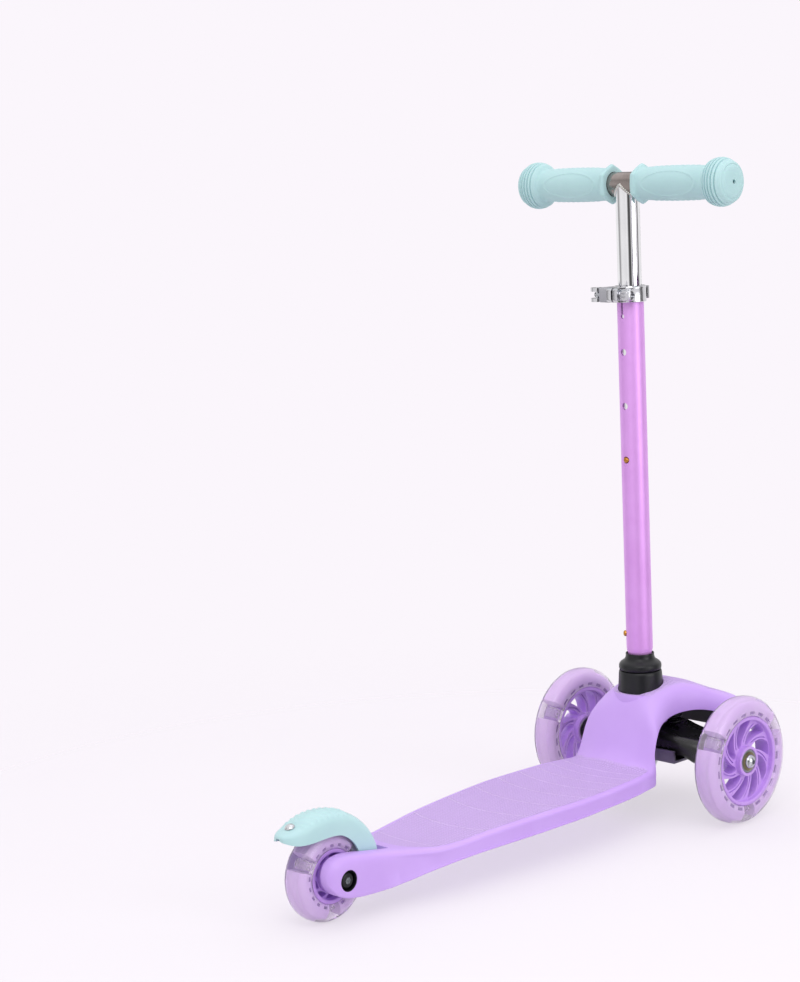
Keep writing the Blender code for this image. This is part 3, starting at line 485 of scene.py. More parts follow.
def section(x, inset=0.0, floor=None, steps=20, lip=True):
    w = curve(WIDE, x) - inset
    zt = curve(TOP, x) - inset
    zb = curve(BOTTOM, x) if floor is None else floor
    n = curve(SQUARE, x)
    z0 = zb + 2.0 if floor is None else max(zb, min(zt - 12.0, 66.0))
    foot = 1.6
    half = [(w * 0.5, zb), (w - foot, zb), (w - foot * 0.3, zb + foot * 0.3), (w, zb + foot)]
    k_lip = curve(LIP, x) if lip else 0.0
    late = 20.0 * max(0.0, min(1.0, (387.0 - x) / 15.0))
    for k in range(steps):
        a = math.radians(90.0 * k / steps)
        y = w * math.cos(a) ** (2.0 / n)
        peak = zt if x < 335 or late == 0.0 else min(zt, curve(TOP, x - late * (y / w) ** 2.2) - inset)
        low = min(z0, peak - 1.5)
        z = low + (peak - low) * math.sin(a) ** (2.0 / n)
        if k == 0:
            z = low + 0.05
        # a shallow step under the rounded lip that runs round the tread
        drop = peak - z
        y -= k_lip * 0.9 * max(0.0, min(1.0, (drop - 4.6) / 1.2)) * (1.0 if y > w * 0.8 else 0.0)
        half.append((y, z))
    right = [(-y, z) for y, z in reversed(half)]
    return [(x, y, z) for y, z in half] + [(x, 0.0, zt)] + [(x, y, z) for y, z in right] + [(x, 0.0, zb)]


marks = sorted({round(v, 2) for v in list(np.arange(-20.5, -8, 1.0)) + list(np.arange(-8, 344, 4.0))
                + list(np.arange(344, 522, 2.2)) + [t[0] for t in TOP] + [505.5, 511, 515, 519, 521.3, 522.0]})
stations = [marks[0]]
for v in marks[1:]:
    if v - stations[-1] > 0.7:
        stations.append(v)
deck = raw("deck_body", rings([section(x) for x in stations]))
ARCH = [(378.0, 30.0), (380.5, 60.0), (383.5, 73.0), (388.0, 83.0), (396.0, 90.2), (407.0, 94.4),
        (420.0, 96.8), (433.0, 98.2), (446.0, 98.4), (456.0, 97.0), (466.0, 94.0), (476.0, 89.0),
        (486.0, 82.4), (496.0, 75.0), (504.0, 68.6), (510.0, 65.0)]
arch = smooth_line(ARCH, 4) + [(540.0, 63.0), (540.0, 30.0)]
cut(deck, prism(arch, -90, 90))
HOLLOW = [388, 390.5, 393, 396, 399, 403, 407, 412, 417, 422, 427, 432, 437, 442, 447, 452, 457, 462, 467, 472, 477,
          482, 487, 491.5, 496, 499.5, 503, 505.5, 508, 510, 512, 513.5, 515]
cut(deck, rings([[tuple(p) for p in section(x + (3.0 if x > 460 else -3.0 if x < 395 else 0.0), inset=3.6,
                                            floor=40.0, steps=14, lip=False)] for x in HOLLOW]))
cut(deck, turned([(25.4, 88.0), (25.4, 117.2)], (STEM_X, 0, 0), (0, 0, 1), 48), "UNION")
cut(deck, leant(turned([(21.75, 91.0), (21.75, 150.0)], (STEM_X, 0, 0), (0, 0, 1), 48)))
cut(deck, turned([(11.0, 47.2), (11.0, 60.5)], KC, KD, 28), "UNION")
cut(deck, turned([(4.35, 20.0), (4.35, 53.0)], KC, KD, 20))
round_slot = [(-45, 10), (52.0, 10), (56.5, 12), (58.5, 16), (58.5, 75), (-45, 75)]
cut(deck, prism(round_slot, -FORK_IN, FORK_IN))
cut(deck, box(50, 79, -12.0, 12.0, 5, 35.0))
cut(deck, turned([(1.9, 30.0), (1.9, 43.5)], (68.0, 0, 0), (0, 0, 1), 16))
for side in (-1, 1):
    cut(deck, turned([(9.15, 22.5 * side), (9.15, 34.0 * side)], (0, 0, 40), Y, 40))
cut(deck, turned([(4.35, -26), (4.35, 26)], (0, 0, 40), Y, 20))
for a, b in [(74, 116), (122, 176), (182, 236), (242, 296), (302, 348)]:
    ya = min(curve(WIDE, x) for x in (a, (a + b) / 2, b)) - 3.8
    zt = min(curve(TOP, x) for x in (a, (a + b) / 2, b)) - 4.0
    for side in (-1, 1):
        cut(deck, box(a, b, min(2.4 * side, ya * side), max(2.4 * side, ya * side), 5, zt))
finish_piece(deck, [TREAD, SHADE], "deck", angle=34, bevel=0.7, seg=2, limit=50, slot="lavender_plastic",
             replaces=["deck"])
# painted shade: the inner faces of the hollow under the hood take the near-black material
for p in deck.data.polygons:
    c = p.center * 1000 + Vector((X_MID, 0, 0))
    if 384 < c.x < 520 and c.z < 122:
        w = curve(WIDE, c.x) - 2.2
        zt = curve(TOP, c.x) - 2.4
        outer = section(c.x, steps=10, lip=False)
        inside = abs(c.y) < w and c.z < zt
        if inside:
            n_ = curve(SQUARE, c.x)
            z0 = 40.0
            f = (abs(c.y) / (w + 0.2)) ** n_ + (max(0.0, c.z - min(zt - 12, 66.0)) / max(1.0, zt - min(zt - 12, 66.0))) ** n_
            inward = p.normal.x * (c.x - 440.0) + p.normal.y * c.y + p.normal.z * (c.z - 62.0) < 0
            sliver = max(abs(p.normal.y), abs(p.normal.x)) < 0.2 and c.z < curve(ARCH, c.x) + 0.4
            if f < 0.97 and inward and not sliver:
                p.material_index = 1

for tag, s in (("right", -1), ("left", 1)):
    lo, hi = 22.55 * s, 29.3 * s
    mid_ = 23.2 * s
    piece("axle_cup_" + tag, turned([(6.9, lo), (9.1, lo), (9.1, hi), (8.7, hi + 0.1 * s), (8.4, hi - 0.3 * s),
                                     (8.3, mid_), (6.9, mid_)], (0, 0, 40), Y, 64, loop=True), BLACK, "deck",
          angle=35, slot="black_plastic")

# ---------------------------------------------------------------- stem socket
piece("stem_socket_shell", leant(turned(
    [(13.0, 92.0), (20.9, 92.0), (21.4, 96.0), (21.4, 114.0), (21.2, 122.0), (20.9, 128.0), (20.6, 134.0),
     (20.3, 136.2), (19.7, 137.0), (18.6, 137.2), (13.0, 137.2)],
    (STEM_X, 0, 0), (0, 0, 1), 72, loop=True)), BLACK, "deck", angle=40, slot="black_plastic",
    replaces=["stem_socket"])
piece("stem_collar_shell", leant(turned(
    [(13.0, 137.6), (18.6, 137.6), (19.3, 137.9), (19.9, 138.6), (20.2, 139.8), (20.25, 141.2), (20.1, 142.6),
     (19.5, 143.9), (18.6, 144.9), (17.2, 145.9), (15.8, 146.8), (14.7, 147.9), (14.0, 149.2), (13.6, 150.6),
     (13.5, 152.0), (13.6, 153.2), (13.3, 153.7), (12.3, 153.7), (12.0, 153.0), (12.0, 151.0), (13.0, 149.4)],
    (STEM_X, 0, 0), (0, 0, 1), 72, loop=True)), BLACK, "t_bar", angle=40, slot="black_plastic",
    replaces=["stem_collar"])


# --------------------------------------------------------------------- wheels
def circle(r, n, phase=0.0):
    return [(r * math.cos(phase + 2 * math.pi * k / n), r * math.sin(phase + 2 * math.pi * k / n))
            for k in range(n)]


def swirl(r0, r1, width, k, count, sweep, steps=4):
    base = 2 * math.pi * k / count
    lead, trail = [], []
    for i in range(steps + 1):
        t = i / steps
        r = r0 + (r1 - r0) * t
        mid = base + sweep * t
        half = 0.5 * (2 * math.pi / count) - 0.5 * width / r
        half *= (0.62 + 0.38 * math.sin(math.pi * min(1.0, 0.15 + 0.85 * t)))
        lead.append((r * math.cos(mid + half), r * math.sin(mid + half)))
        trail.append((r * math.cos(mid - half), r * math.sin(mid - half)))
    return trail + list(reversed(lead))


def rounded(loop, amount=0.35, steps=4):
    """Round a closed 2-D outline's corners."""
    p = [np.array(q) for q in loop]
    for _ in range(2):
        q = []
        for i in range(len(p)):
            a, b = p[i], p[(i + 1) % len(p)]
            q += [a * 0.75 + b * 0.25, a * 0.25 + b * 0.75]
        p = q
    return [tuple(v) for v in p]


def arc_bar(r0, r1, sweep0, sweep, k, count, half):
    """A slot that follows one swept spoke."""
    base = 2 * math.pi * (k + 0.5) / count
    lead, trail = [], []
    for i in range(7):
        t = i / 6
        r = r0 + (r1 - r0) * t
        mid = base + sweep0 + sweep * t
        lead.append((r * math.cos(mid + half / r), r * math.sin(mid + half / r)))
        trail.append((r * math.cos(mid - half / r), r * math.sin(mid - half / r)))
    return rounded(trail + list(reversed(lead)))


def wheel(prefix, centre, side, radius, half, ring, flange, body, bolt):
    c = np.array(centre, float)
    front = ring > 30
    count, boss = 9, (14.0 if front else 13.6)
    bore = ring + 0.3
    # clear tyre: full round section over the flange core
    rise = radius - bore
    outer = []
    for k in range(25):
        a = math.pi * k / 24
        yy = half * (abs(math.cos(a)) ** 0.8) * (1 if math.cos(a) >= 0 else -1)
        rr = bore + rise * (0.12 + 0.88 * math.sin(a) ** 0.72)
        outer.append((rr, yy))
    outer = [(bore, half - 1.4)] + outer + [(bore, -(half - 1.4))]
    outer[1] = (bore + rise * 0.10, half)
    outer[-2] = (bore + rise * 0.10, -half)
    tyre = raw(prefix + "_tyre_clear", turned(outer, c, Y, 96, loop=True))
    finish_piece(tyre, CLEAR, body, angle=60, slot="clear_pu", replaces=[prefix + "_tyre"])
    # milky core inside the tyre, in three stretches between the light modules
    tip = radius - (4.3 if front else 3.6)
    fat = half - 1.6
    notch = math.radians(9.5 if front else 12.5)
    core_prof = [(bore + 0.4, fat * 0.90), (bore + rise * 0.35, fat), (bore + rise * 0.58, fat * 0.88),
                 (bore + rise * 0.76, fat * 0.62), (tip - 0.6, fat * 0.30), (tip, 0.0)]
    core_prof = core_prof + [(r, -y) for r, y in reversed(core_prof[:-1])]
    prof = smooth_line(core_prof, 3)
    u, w_, a_ = basis(Y)
    for i in range(3):
        mid = 2 * math.pi * i / 3 + math.radians(30)
        th = np.linspace(mid + notch, mid + 2 * math.pi / 3 - notch, 30)
        stack = [[c + np.array((r * math.cos(t), yy, r * math.sin(t))) for r, yy in prof] for t in th]
        core = raw("%s_core_%d" % (prefix, i + 1), rings(stack))
        # window pockets just outside the hub ring; their floors take painted shade below
        span_ = 2 * math.pi / 3 - 2 * notch
        wn = 6 if front else 5
        for k in range(wn):
            t0 = mid + notch + span_ * (k + 0.5) / wn
            hw = math.radians(4.7 if front else 4.6)
            r0, r1 = (ring + 1.9, ring + 4.7) if front else (ring + 2.0, ring + 4.4)
            fan = [t0 - hw + 2 * hw * j / 5 for j in range(6)]
            out = [(r0 * math.cos(a), r0 * math.sin(a)) for a in fan]
            out += [(r1 * math.cos(a), r1 * math.sin(a)) for a in reversed(fan)]
            for s_ in (-1, 1):
                lo, hi = sorted((s_ * (fat - 1.6), s_ * (fat + 3)))
                sol = prism(out, lo, hi)
                cut(core, (np.array(sol[0]) + c, sol[1]))
        core.data.materials.clear()
        finish_piece(core, [CORE, POCKET_SHADE], body, angle=40)
        # pocket floors take the darker material: painted shade in the recesses
        for p in core.data.polygons:
            q = np.array(p.center) * 1000 + (X_MID, 0, 0) - c
            r = math.hypot(q[0], q[2])
            if abs(q[1]) < fat - 1.2 and ring + 1.2 < r < ring + 7.2 and abs(q[1]) > fat - 2.2 and abs(p.normal[1]) > 0.8:
                p.material_index = 1
    # hub: ring, swept spokes with slots, boss
    sweep = (0.62 if front else 0.25) * side
    holes = [rounded(swirl(boss + 1.0, ring - 3.8, 5.4 if front else 2.8, k, count, sweep, 6)) for k in range(count)]
    web = pierced(circle(ring - 0.5, 96), holes + [list(reversed(circle(boss - 1.0, 32)))], -5.9, 5.9, c)
    hub = raw(prefix + "_hub_shell", web)
    rim = turned([(ring - 3.6, -9.9), (ring - 2.9, -10.6), (ring - 0.6, -10.6), (ring, -10.0), (ring, 10.0),
                  (ring - 0.6, 10.6), (ring - 2.9, 10.6), (ring - 3.6, 9.9)], c, Y, 96, loop=True)
    cut(hub, rim, "UNION")
    core = turned([(8.6, -3.6), (11.25, -3.6), (11.25, -10.9), (boss, -10.9), (boss, 10.9), (11.25, 10.9),
                   (11.25, 3.6), (8.6, 3.6)], c, Y, 48, loop=True)
    cut(hub, core, "UNION")
    if front:
        for k in range(count):
            loop = arc_bar(boss + 3.5, ring - 6.5, 0.10 * sweep, sweep * 0.86, k, count, 0.85)
            for s_ in (-1, 1):
                lo, hi = sorted((4.0 * s_, 8.0 * s_))
                sol = prism(loop, lo, hi)
                cut(hub, (np.array(sol[0]) + c, sol[1]))
    finish_piece(hub, HUB, body, angle=38, bevel=0.5, seg=2, limit=40, slot="hub_plastic",
                 replaces=[prefix + "_hub"])
    # bearings: outer race, shield, inner race
    for tag, s in (("outer", 1.0), ("inner", -1.0)):
        d = s * side
        pr = [(4.3, 3.8), (4.3, 10.7), (6.2, 10.7), (6.4, 10.35), (8.9, 10.35), (9.1, 10.7), (10.6, 10.7),
              (10.95, 10.3), (10.95, 3.8)]
        piece("%s_bearing_%s_ring" % (prefix, tag), turned([(r, a * d) for r, a in pr], c, Y, 48, loop=True),
              STEEL, body, angle=30, slot="bearing_steel", replaces=["%s_bearing_%s" % (prefix, tag)])
    # light modules: clear block with a coil ring
    for i in range(3):
        mid = 2 * math.pi * i / 3 + math.radians(30)
        r0, r1 = (ring + 0.8, ring + 7.4) if front else (ring + 0.7, ring + 6.6)
        arc = []
        hn = notch * 0.62
        for th in np.linspace(mid - hn, mid + hn, 7):
            arc.append((r0 * math.cos(th), r0 * math.sin(th)))
        for th in np.linspace(mid + hn, mid - hn, 7):
            arc.append((r1 * math.cos(th), r1 * math.sin(th)))
        sol = prism(arc, -5.4, 5.4)
        blk = raw("%s_lens_%d" % (prefix, i + 1), (np.array(sol[0]) + c, sol[1]))
        finish_piece(blk, LENS, body, angle=30, bevel=0.5, seg=2, slot="light_lens",
                     replaces=["%s_light_%d" % (prefix, i + 1)])
        rc = 0.5 * (r0 + r1)
        pos = c + np.array((rc * math.cos(mid), 0, rc * math.sin(mid)))
        coil = turned([(1.9, 6.0), (2.4, 6.0), (2.4, 6.6), (1.9, 6.6)], pos, Y, 24, loop=True)
        back = turned([(1.9, -6.6), (2.4, -6.6), (2.4, -6.0), (1.9, -6.0)], pos, Y, 24, loop=True)
        n0 = len(coil[0])
        piece("%s_coil_%d" % (prefix, i + 1), (list(coil[0]) + list(back[0]),
              list(coil[1]) + [tuple(k + n0 for k in f) for f in back[1]]), COIL, body, slot="light_lens")


wheel("front_wheel_right", (WHEELBASE, -FRONT_Y, FRONT_R), -1, FRONT_R, 12.0, 42.0, 50.0, "front_wheel_right", True)
wheel("front_wheel_left", (WHEELBASE, FRONT_Y, FRONT_R), 1, FRONT_R, 12.0, 42.0, 50.0, "front_wheel_left", True)
wheel("rear_wheel", (0.0, 0.0, REAR_R), -1, REAR_R, 12.0, 23.4, 31.0, "rear_wheel", False)

# ------------------------------------------------------------------ axle bolts
for tag, s in (("right", -1), ("left", 1)):
    c = (WHEELBASE, 0, FRONT_R)
    head = raw("axle_bolt_%s_head" % tag, turned(
        [(r, a * s) for r, a in [(0.6, 114.9), (1.9, 114.8), (3.3, 114.3), (4.6, 113.5), (5.6, 112.5), (6.2, 111.4),
                                 (6.5, 110.5), (6.4, 110.0), (4.0, 110.0), (4.0, 62.0)]], c, Y, 48))
    hexa = [(2.5 * math.cos(math.radians(60 * k)) + WHEELBASE, 2.5 * math.sin(math.radians(60 * k)) + FRONT_R)
            for k in range(6)]
    cut(head, prism(hexa, min(111.6 * s, 120 * s), max(111.6 * s, 120 * s)))
    finish_piece(head, BOLT, "front_axle", angle=35, slot="bolt_steel", replaces=["axle_bolt_" + tag])
    # outside washer on the bearing
    lo, hi = sorted((109.4 * s, 109.95 * s))
    piece("axle_cap_" + tag, turned([(4.1, lo), (8.4, lo), (9.0, (lo + hi) / 2), (8.4, hi), (4.1, hi)], c, Y, 48,
                                    loop=True), ZINC, "front_axle", angle=30, slot="bearing_steel")
    a0, a1 = sorted((85.7 * s, 87.6 * s))
    piece("axle_washer_%s_ring" % tag, turned([(4.3, a0), (7.0, a0), (7.4, a0 + 0.4), (7.4, a1 - 0.4), (7.0, a1),
                                               (4.3, a1)], c, Y, 48, loop=True), ZINC, "front_axle", angle=30,
          slot="bearing_steel", replaces=["axle_washer_" + tag])

# ------------------------------------------------------------------ stem tube
tube = raw("stem_tube_shell", leant(turned(
    [(10.9, 96.0), (10.9, 152.0), (11.2, 153.6), (11.8, 155.6), (12.3, 157.6), (12.5, 160.0), (12.5, 499.3),
     (12.2, 500.0), (11.8, 500.0), (11.5, 499.4), (11.5, 160.0), (10.0, 154.0), (9.9, 96.0)],
    (STEM_X, 0, 0), (0, 0, 1), 96, loop=True)))
cut(tube, leant(box(STEM_X - 20, STEM_X - 5, -1.1, 1.1, 476, 510)))
cut(tube, leant(turned([(2.1, 5.0), (2.1, 18.0)], (STEM_X, 0, 475.0), (-1, 0, 0), 24)))
for z in HOLES:
    cut(tube, leant(turned([(3.3, 5.0), (3.3, 18.0)], (STEM_X, 0, z), (-1, 0, 0), 32)))
REL = math.radians(130.0)
rel_axis = (math.cos(REL), math.sin(REL), 0.0)
cut(tube, leant(turned([(3.2, 5.0), (3.2, 18.0)], (STEM_X, 0, 172.5), rel_axis, 32)))
finish_piece(tube, TUBE, "t_bar", angle=32, bevel=0.16, seg=2, limit=40, slot="magenta_tube",
             replaces=["stem_tube"])
piece("stem_release_button_dome", leant(turned(
    [(0.3, 15.1), (1.2, 15.0), (2.0, 14.7), (2.6, 14.1), (2.8, 13.4), (2.8, 10.2), (4.2, 10.0), (4.3, 9.6),
     (4.3, 9.1), (0.3, 9.0)], (STEM_X, 0, 172.5), rel_axis, 32)), BRASS, "stem_release_button", angle=40,
    slot="brass_button", replaces=["stem_release_button"])

# -------------------------------------------------------- quick-release clamp
CL = 20.0
SK = STEM_X - CL
clamp = raw("clamp_collar_band", leant(turned(
    [(12.75, 488.0), (14.5, 488.0), (15.0, 488.5), (15.0, 490.0), (14.8, 490.4), (14.8, 500.2), (15.0, 500.6),
     (15.0, 501.6), (14.4, 502.7), (13.6, 503.0), (12.75, 503.0)], (STEM_X, 0, 0), (0, 0, 1), 96, loop=True)))
for s in (-1, 1):
    y0, y1 = sorted((1.0 * s, 6.4 * s))
    ear = [(STEM_X - 13.2, 488.8), (STEM_X - 23.4, 488.8)]
    ear += [(STEM_X - 23.4 + 3.4 * math.cos(math.radians(a)), 492.2 + 3.4 * math.sin(math.radians(a)))
            for a in range(255, 175, -15)]
    ear += [(STEM_X - 23.4 + 3.4 * math.cos(math.radians(a)), 498.8 + 3.4 * math.sin(math.radians(a)))
            for a in range(180, 100, -15)]
    ear += [(STEM_X - 23.4, 502.2), (STEM_X - 13.2, 502.2)]
    cut(clamp, leant(prism(ear, y0, y1)), "UNION")
cut(clamp, leant(box(STEM_X - 30, STEM_X - 8, -1.0, 1.0, 480, 510)))
cut(clamp, leant(turned([(2.7, -12), (2.7, 12)], (SK, 0, 495.5), Y, 24)))
finish_piece(clamp, CLAMP, "t_bar", angle=36, bevel=0.35, seg=3, limit=40, slot="clamp_chrome",
             replaces=["clamp_collar"])
skewer = raw("clamp_skewer_rod", leant(turned([(2.4, -17.5), (2.4, 24.6), (1.9, 25.2), (0.4, 25.5)],
                                              (SK, 0, 495.5), Y, 32)))
LX, LY = SK, 22.6
cut(skewer, leant(turned([(2.35, 480), (2.35, 510)], (LX, LY, 0), (0, 0, 1), 24)))
finish_piece(skewer, BOLT, "t_bar", angle=35, slot="bolt_steel", replaces=["clamp_skewer"])


def knurl(i, t, s):
    return 1.0 + (0.03 * (1 if math.cos(24 * t) > 0 else -1) if 4 <= i <= 7 else 0.0)


piece("clamp_nut_ring", leant(turned(
    [(2.7, -6.7), (4.9, -6.7), (5.4, -7.2), (5.4, -8.4), (5.5, -8.9), (5.5, -11.0), (5.5, -13.4), (5.5, -15.6),
     (5.3, -16.2), (5.3, -17.8), (4.8, -18.8), (3.9, -19.3), (2.7, -19.4)], (SK, 0, 495.5), Y, 96, loop=True,
    shape=knurl)), CLAMP, "t_bar", angle=30, slot="bolt_steel", replaces=["clamp_nut"])
piece("clamp_cam_seat_block", leant(pierced(
    rounded([(-6.0, -5.6), (-4.6, -7.0), (4.6, -7.0), (6.0, -5.6), (6.0, 5.6), (4.6, 7.0), (-4.6, 7.0), (-6.0, 5.6)]),
    [circle(2.75, 32)], 6.7, 15.8, (SK, 0, 495.5))), SEAT, "t_bar", angle=35, bevel=0.5, seg=3, limit=40,
    slot="cam_seat_plastic", replaces=["clamp_cam_seat"])
knuckle = [(LX + 6.4 * math.cos(math.radians(a)), LY + 6.2 * math.sin(math.radians(a))) for a in range(0, 360, 8)]
lever = raw("clamp_lever_arm", leant(prism(knuckle, 489.0, 502.0, "z")))
path = smooth_line([(LX + 2, LY + 2.5), (LX + 12, LY + 2.6), (LX + 22, LY + 0.4), (LX + 31, LY - 4.4),
                    (LX + 38, LY - 12.0), (LX + 41.0, LY - 20.5), (LX + 41.4, LY - 27.0)], 5)
outer_, inner_ = [], []
for i, p in enumerate(path):
    q, o = path[min(i + 1, len(path) - 1)], path[max(i - 1, 0)]
    d = np.array((q[0] - o[0], q[1] - o[1]))
    d /= np.linalg.norm(d)
    nrm = np.array((-d[1], d[0]))
    outer_.append(tuple(np.array(p) + nrm * 1.5))
    inner_.append(tuple(np.array(p) - nrm * 1.5))
cut(lever, leant(prism(outer_ + list(reversed(inner_)), 489.6, 501.4, "z")), "UNION")
cut(lever, leant(box(LX - 12, LX + 4.4, LY - 12, LY + 12, 492.4, 498.6)))
cut(lever, leant(turned([(2.3, 480), (2.3, 510)], (LX, LY, 0), (0, 0, 1), 24)))
finish_piece(lever, CLAMP, "clamp_lever", angle=36, bevel=0.55, seg=3, limit=40, slot="clamp_chrome",
             replaces=["clamp_lever"])
piece("clamp_lever_pin_rod", leant(turned([(1.4, 489.1), (2.0, 489.5), (2.0, 501.5), (1.4, 501.8)],
                                          (LX, LY, 0), (0, 0, 1), 24)), BOLT, "clamp_lever", angle=40,
      slot="brass_button", replaces=["clamp_lever_pin"])

# ------------------------------------------------------------------ handlebar
bar = raw("handlebar_tube", leant(turned(
    [(11.0, 330.0), (11.1, 330.4), (11.1, BAR_Z), (9.6, BAR_Z), (9.6, 330.4), (9.7, 330.0)], (STEM_X, 0, 0),
    (0, 0, 1), 96, loop=True)))
cut(bar, leant(turned([(11.1, -BAR_HALF), (11.1, BAR_HALF)], (STEM_X, 0, BAR_Z), Y, 96)), "UNION")
cut(bar, leant(turned([(9.6, -BAR_HALF - 5), (9.6, BAR_HALF + 5)], (STEM_X, 0, BAR_Z), Y, 64)))
cut(bar, leant(turned([(3.1, 4.0), (3.1, 16.0)], (STEM_X, 0, HOLES[0]), (-1, 0, 0), 32)))
# darker copy of the chrome for the cross tube's camera-facing half: painted reflection
CROSS_REFLECTION = metal("cross_tube_painted_reflection", lin(166, 156, 152), lin(140, 130, 126), 0.2, (1, 0.05, 1), 700.0, 0.05)
WELD = metal("weld_bead", lin(226, 224, 220), lin(190, 186, 180), 0.2, None, 380.0, 0.3)
finish_piece(bar, [CHROME, CROSS_REFLECTION], "handlebar", angle=34, slot="chrome_tube", replaces=["handlebar"])
# painted reflection: the camera-facing rear half of the cross tube takes the darker chrome
for p in bar.data.polygons:
    q = np.array(p.center) * 1000 + (X_MID, 0, 0)
    if q[2] > 583.0 and math.hypot(q[0] - STEM_X + 5.2, q[2] - BAR_Z) < 11.6:
        p.material_index = 1
# rippled weld where the cross tube meets the stem
R_ = 11.1
seam = []
NB = 260
for k in range(NB):
    t = 2 * math.pi * k / NB
    yv, xv = R_ * math.sin(t), R_ * math.cos(t)
    zv = -abs(math.sqrt(max(0.0, R_ * R_ - xv * xv)))
    out = np.array((math.cos(t), math.sin(t), 0.0))
    bar_out = np.array((xv, 0.0, zv)) / R_
    mid = out + bar_out
    mid /= max(1e-6, np.linalg.norm(mid))
    c0 = np.array((STEM_X + xv, yv, BAR_Z + zv)) + mid * 0.1
    nxt = 2 * math.pi * (k + 1) / NB
    tan = np.array((R_ * (math.cos(nxt) - math.cos(t)), R_ * (math.sin(nxt) - math.sin(t)),
                    -abs(R_ * math.sin(nxt)) + abs(R_ * math.sin(t))))
    tan /= np.linalg.norm(tan)
    side_ = np.cross(tan, mid)
    side_ /= np.linalg.norm(side_)
    up_ = np.cross(side_, tan)
    rw = 1.45 + 0.2 * math.sin(k * 2 * math.pi / 5.2)
    seam.append([c0 + (side_ * math.cos(a) + up_ * math.sin(a)) * rw for a in np.arange(10) * 2 * math.pi / 10])
piece("weld_bead_ring", leant(rings(seam, loop=True)), WELD, "handlebar", angle=60, slot="chrome_tube")
piece("height_button_dome", leant(turned(
    [(0.3, 14.2), (1.3, 14.0), (2.1, 13.6), (2.6, 12.9), (2.8, 12.1), (2.8, 7.6), (4.2, 7.4), (4.4, 7.1),
     (4.4, 6.5), (0.3, 6.4)], (STEM_X, 0, HOLES[0]), (-1, 0, 0), 32)), BRASS, "height_button", angle=40,
    slot="brass_button", replaces=["height_button"])


# ---------------------------------------------------------------------- grips
def grip(tag, s):
    prof = [(11.5, 15.5, 0), (15.4, 15.5, 1), (16.6, 15.9, 1), (17.4, 16.7, 1), (17.6, 17.4, 1), (17.6, 18.9, 1),
            (17.2, 19.8, 1), (16.4, 20.6, 1), (15.2, 21.4, 0), (14.8, 22.6, 2)]
    for a in np.linspace(25.0, 93.0, 120):
        r = 14.9 + 0.95 * math.sin(math.pi * (a - 22) / 76) ** 0.8
        prof.append((r, float(a), 2))
    prof += [(15.1, 95.0, 2), (15.2, 96.2, 0), (15.8, 97.2, 0), (17.2, 98.0, 0), (18.4, 98.7, 0), (19.4, 99.8, 0)]
    # ball end with ring grooves
    for a in np.linspace(101.0, 117.6, 68):
        t = (a - 108.6) / 13.4
        r = 22.1 * math.sqrt(max(0.0, 1 - 0.62 * t * t * (1.0 if t > 0 else 0.72)))
        g = 0.5 + 0.5 * math.cos((a - 102.2) * 2 * math.pi / 3.1)
        prof.append((r - (2.3 * g ** 4 if a < 115.6 else 0.0), float(a), 0))
    prof += [(18.4, 118.9, 0), (17.0, 120.0, 0), (16.2, 120.4, 0), (15.6, 120.2, 0), (15.2, 120.5, 0), (14.2, 121.2, 0),
             (11.0, 121.8, 0), (6.0, 122.0, 0), (2.0, 122.0, 0), (2.0, 113.0, 0), (11.5, 113.0, 0)]

    def shape(i, t, sgn):
        kind, a = prof[i][2], prof[i][1]
        if kind == 1:
            m = (t % (math.pi / 3)) - math.pi / 6
            return 1.0 + 0.052 * (math.cos(math.pi / 6) / math.cos(m) - 0.93) / 0.07
        if kind == 2:
            # raised oval outline on the upper and lower face of the sleeve, and short ticks between
            q = t % math.pi
            q = abs(q - math.pi / 2)
            v = (q / 0.78) ** 2 + ((a - 58.5) / 31.0) ** 2
            ring_ = math.exp(-((v - 1.0) / 0.075) ** 2)
            inside = 0.012 * (1.0 if v < 0.9 else 0.0)
            tick = 0.0
            if q > 1.02 and 32 < a < 86:
                f = ((a - 32) / 6.0) % 1.0
                tick = 0.022 * max(0.0, math.sin(math.pi * f)) ** 6 * min(1.0, (q - 1.02) / 0.12)
            return 1.0 + 0.030 * ring_ - inside + tick
        return 1.0
    # angle 0 of each ring points up, so the ovals face up-front and down-rear
    return piece("grip_%s_sleeve" % tag, leant(turned([(r, a * s) for r, a, _ in prof], (STEM_X, 0, BAR_Z), Y, 144,
                 loop=True, shape=shape, phase=0.0)), GRIP, "handlebar", angle=50, slot="mint_rubber",
                 replaces=["grip_" + tag])


grip("right", -1)
grip("left", 1)

# ---------------------------------------------------------------------- brake
RIDGE = [(-50.2, 82.8), (-48.6, 84.6), (-44.0, 86.2), (-37.0, 88.2), (-28.0, 91.8), (-17.0, 94.9),
         (-5.0, 95.6), (8.0, 94.0), (20.0, 90.2), (31.0, 84.0), (40.5, 75.5), (48.0, 65.5), (52.6, 56.0),
         (54.6, 47.5), (54.9, 42.5)]
SKIRT = [(-50.0, 80.6), (-49.0, 79.2), (-46.0, 77.6), (-40.5, 76.0), (-33.0, 75.2), (-23.0, 75.2),
         (-12.0, 75.8), (-1.5, 75.8), (7.0, 74.4), (14.0, 70.8), (19.6, 66.0), (23.8, 60.2), (26.4, 54.2),
         (27.4, 48.0), (27.5, 42.5)]
FENDER_W = [2.4, 5.6, 9.6, 12.8, 14.4, 15.2, 15.4, 15.4, 15.4, 15.4, 15.4, 15.4, 15.2, 15.0, 15.0]
FS = 14
ridge = smooth_line(RIDGE, FS)
skirt = smooth_line(SKIRT, FS)
width = [p[1] for p in smooth_line([(i, w) for i, w in enumerate(FENDER_W)], FS)]


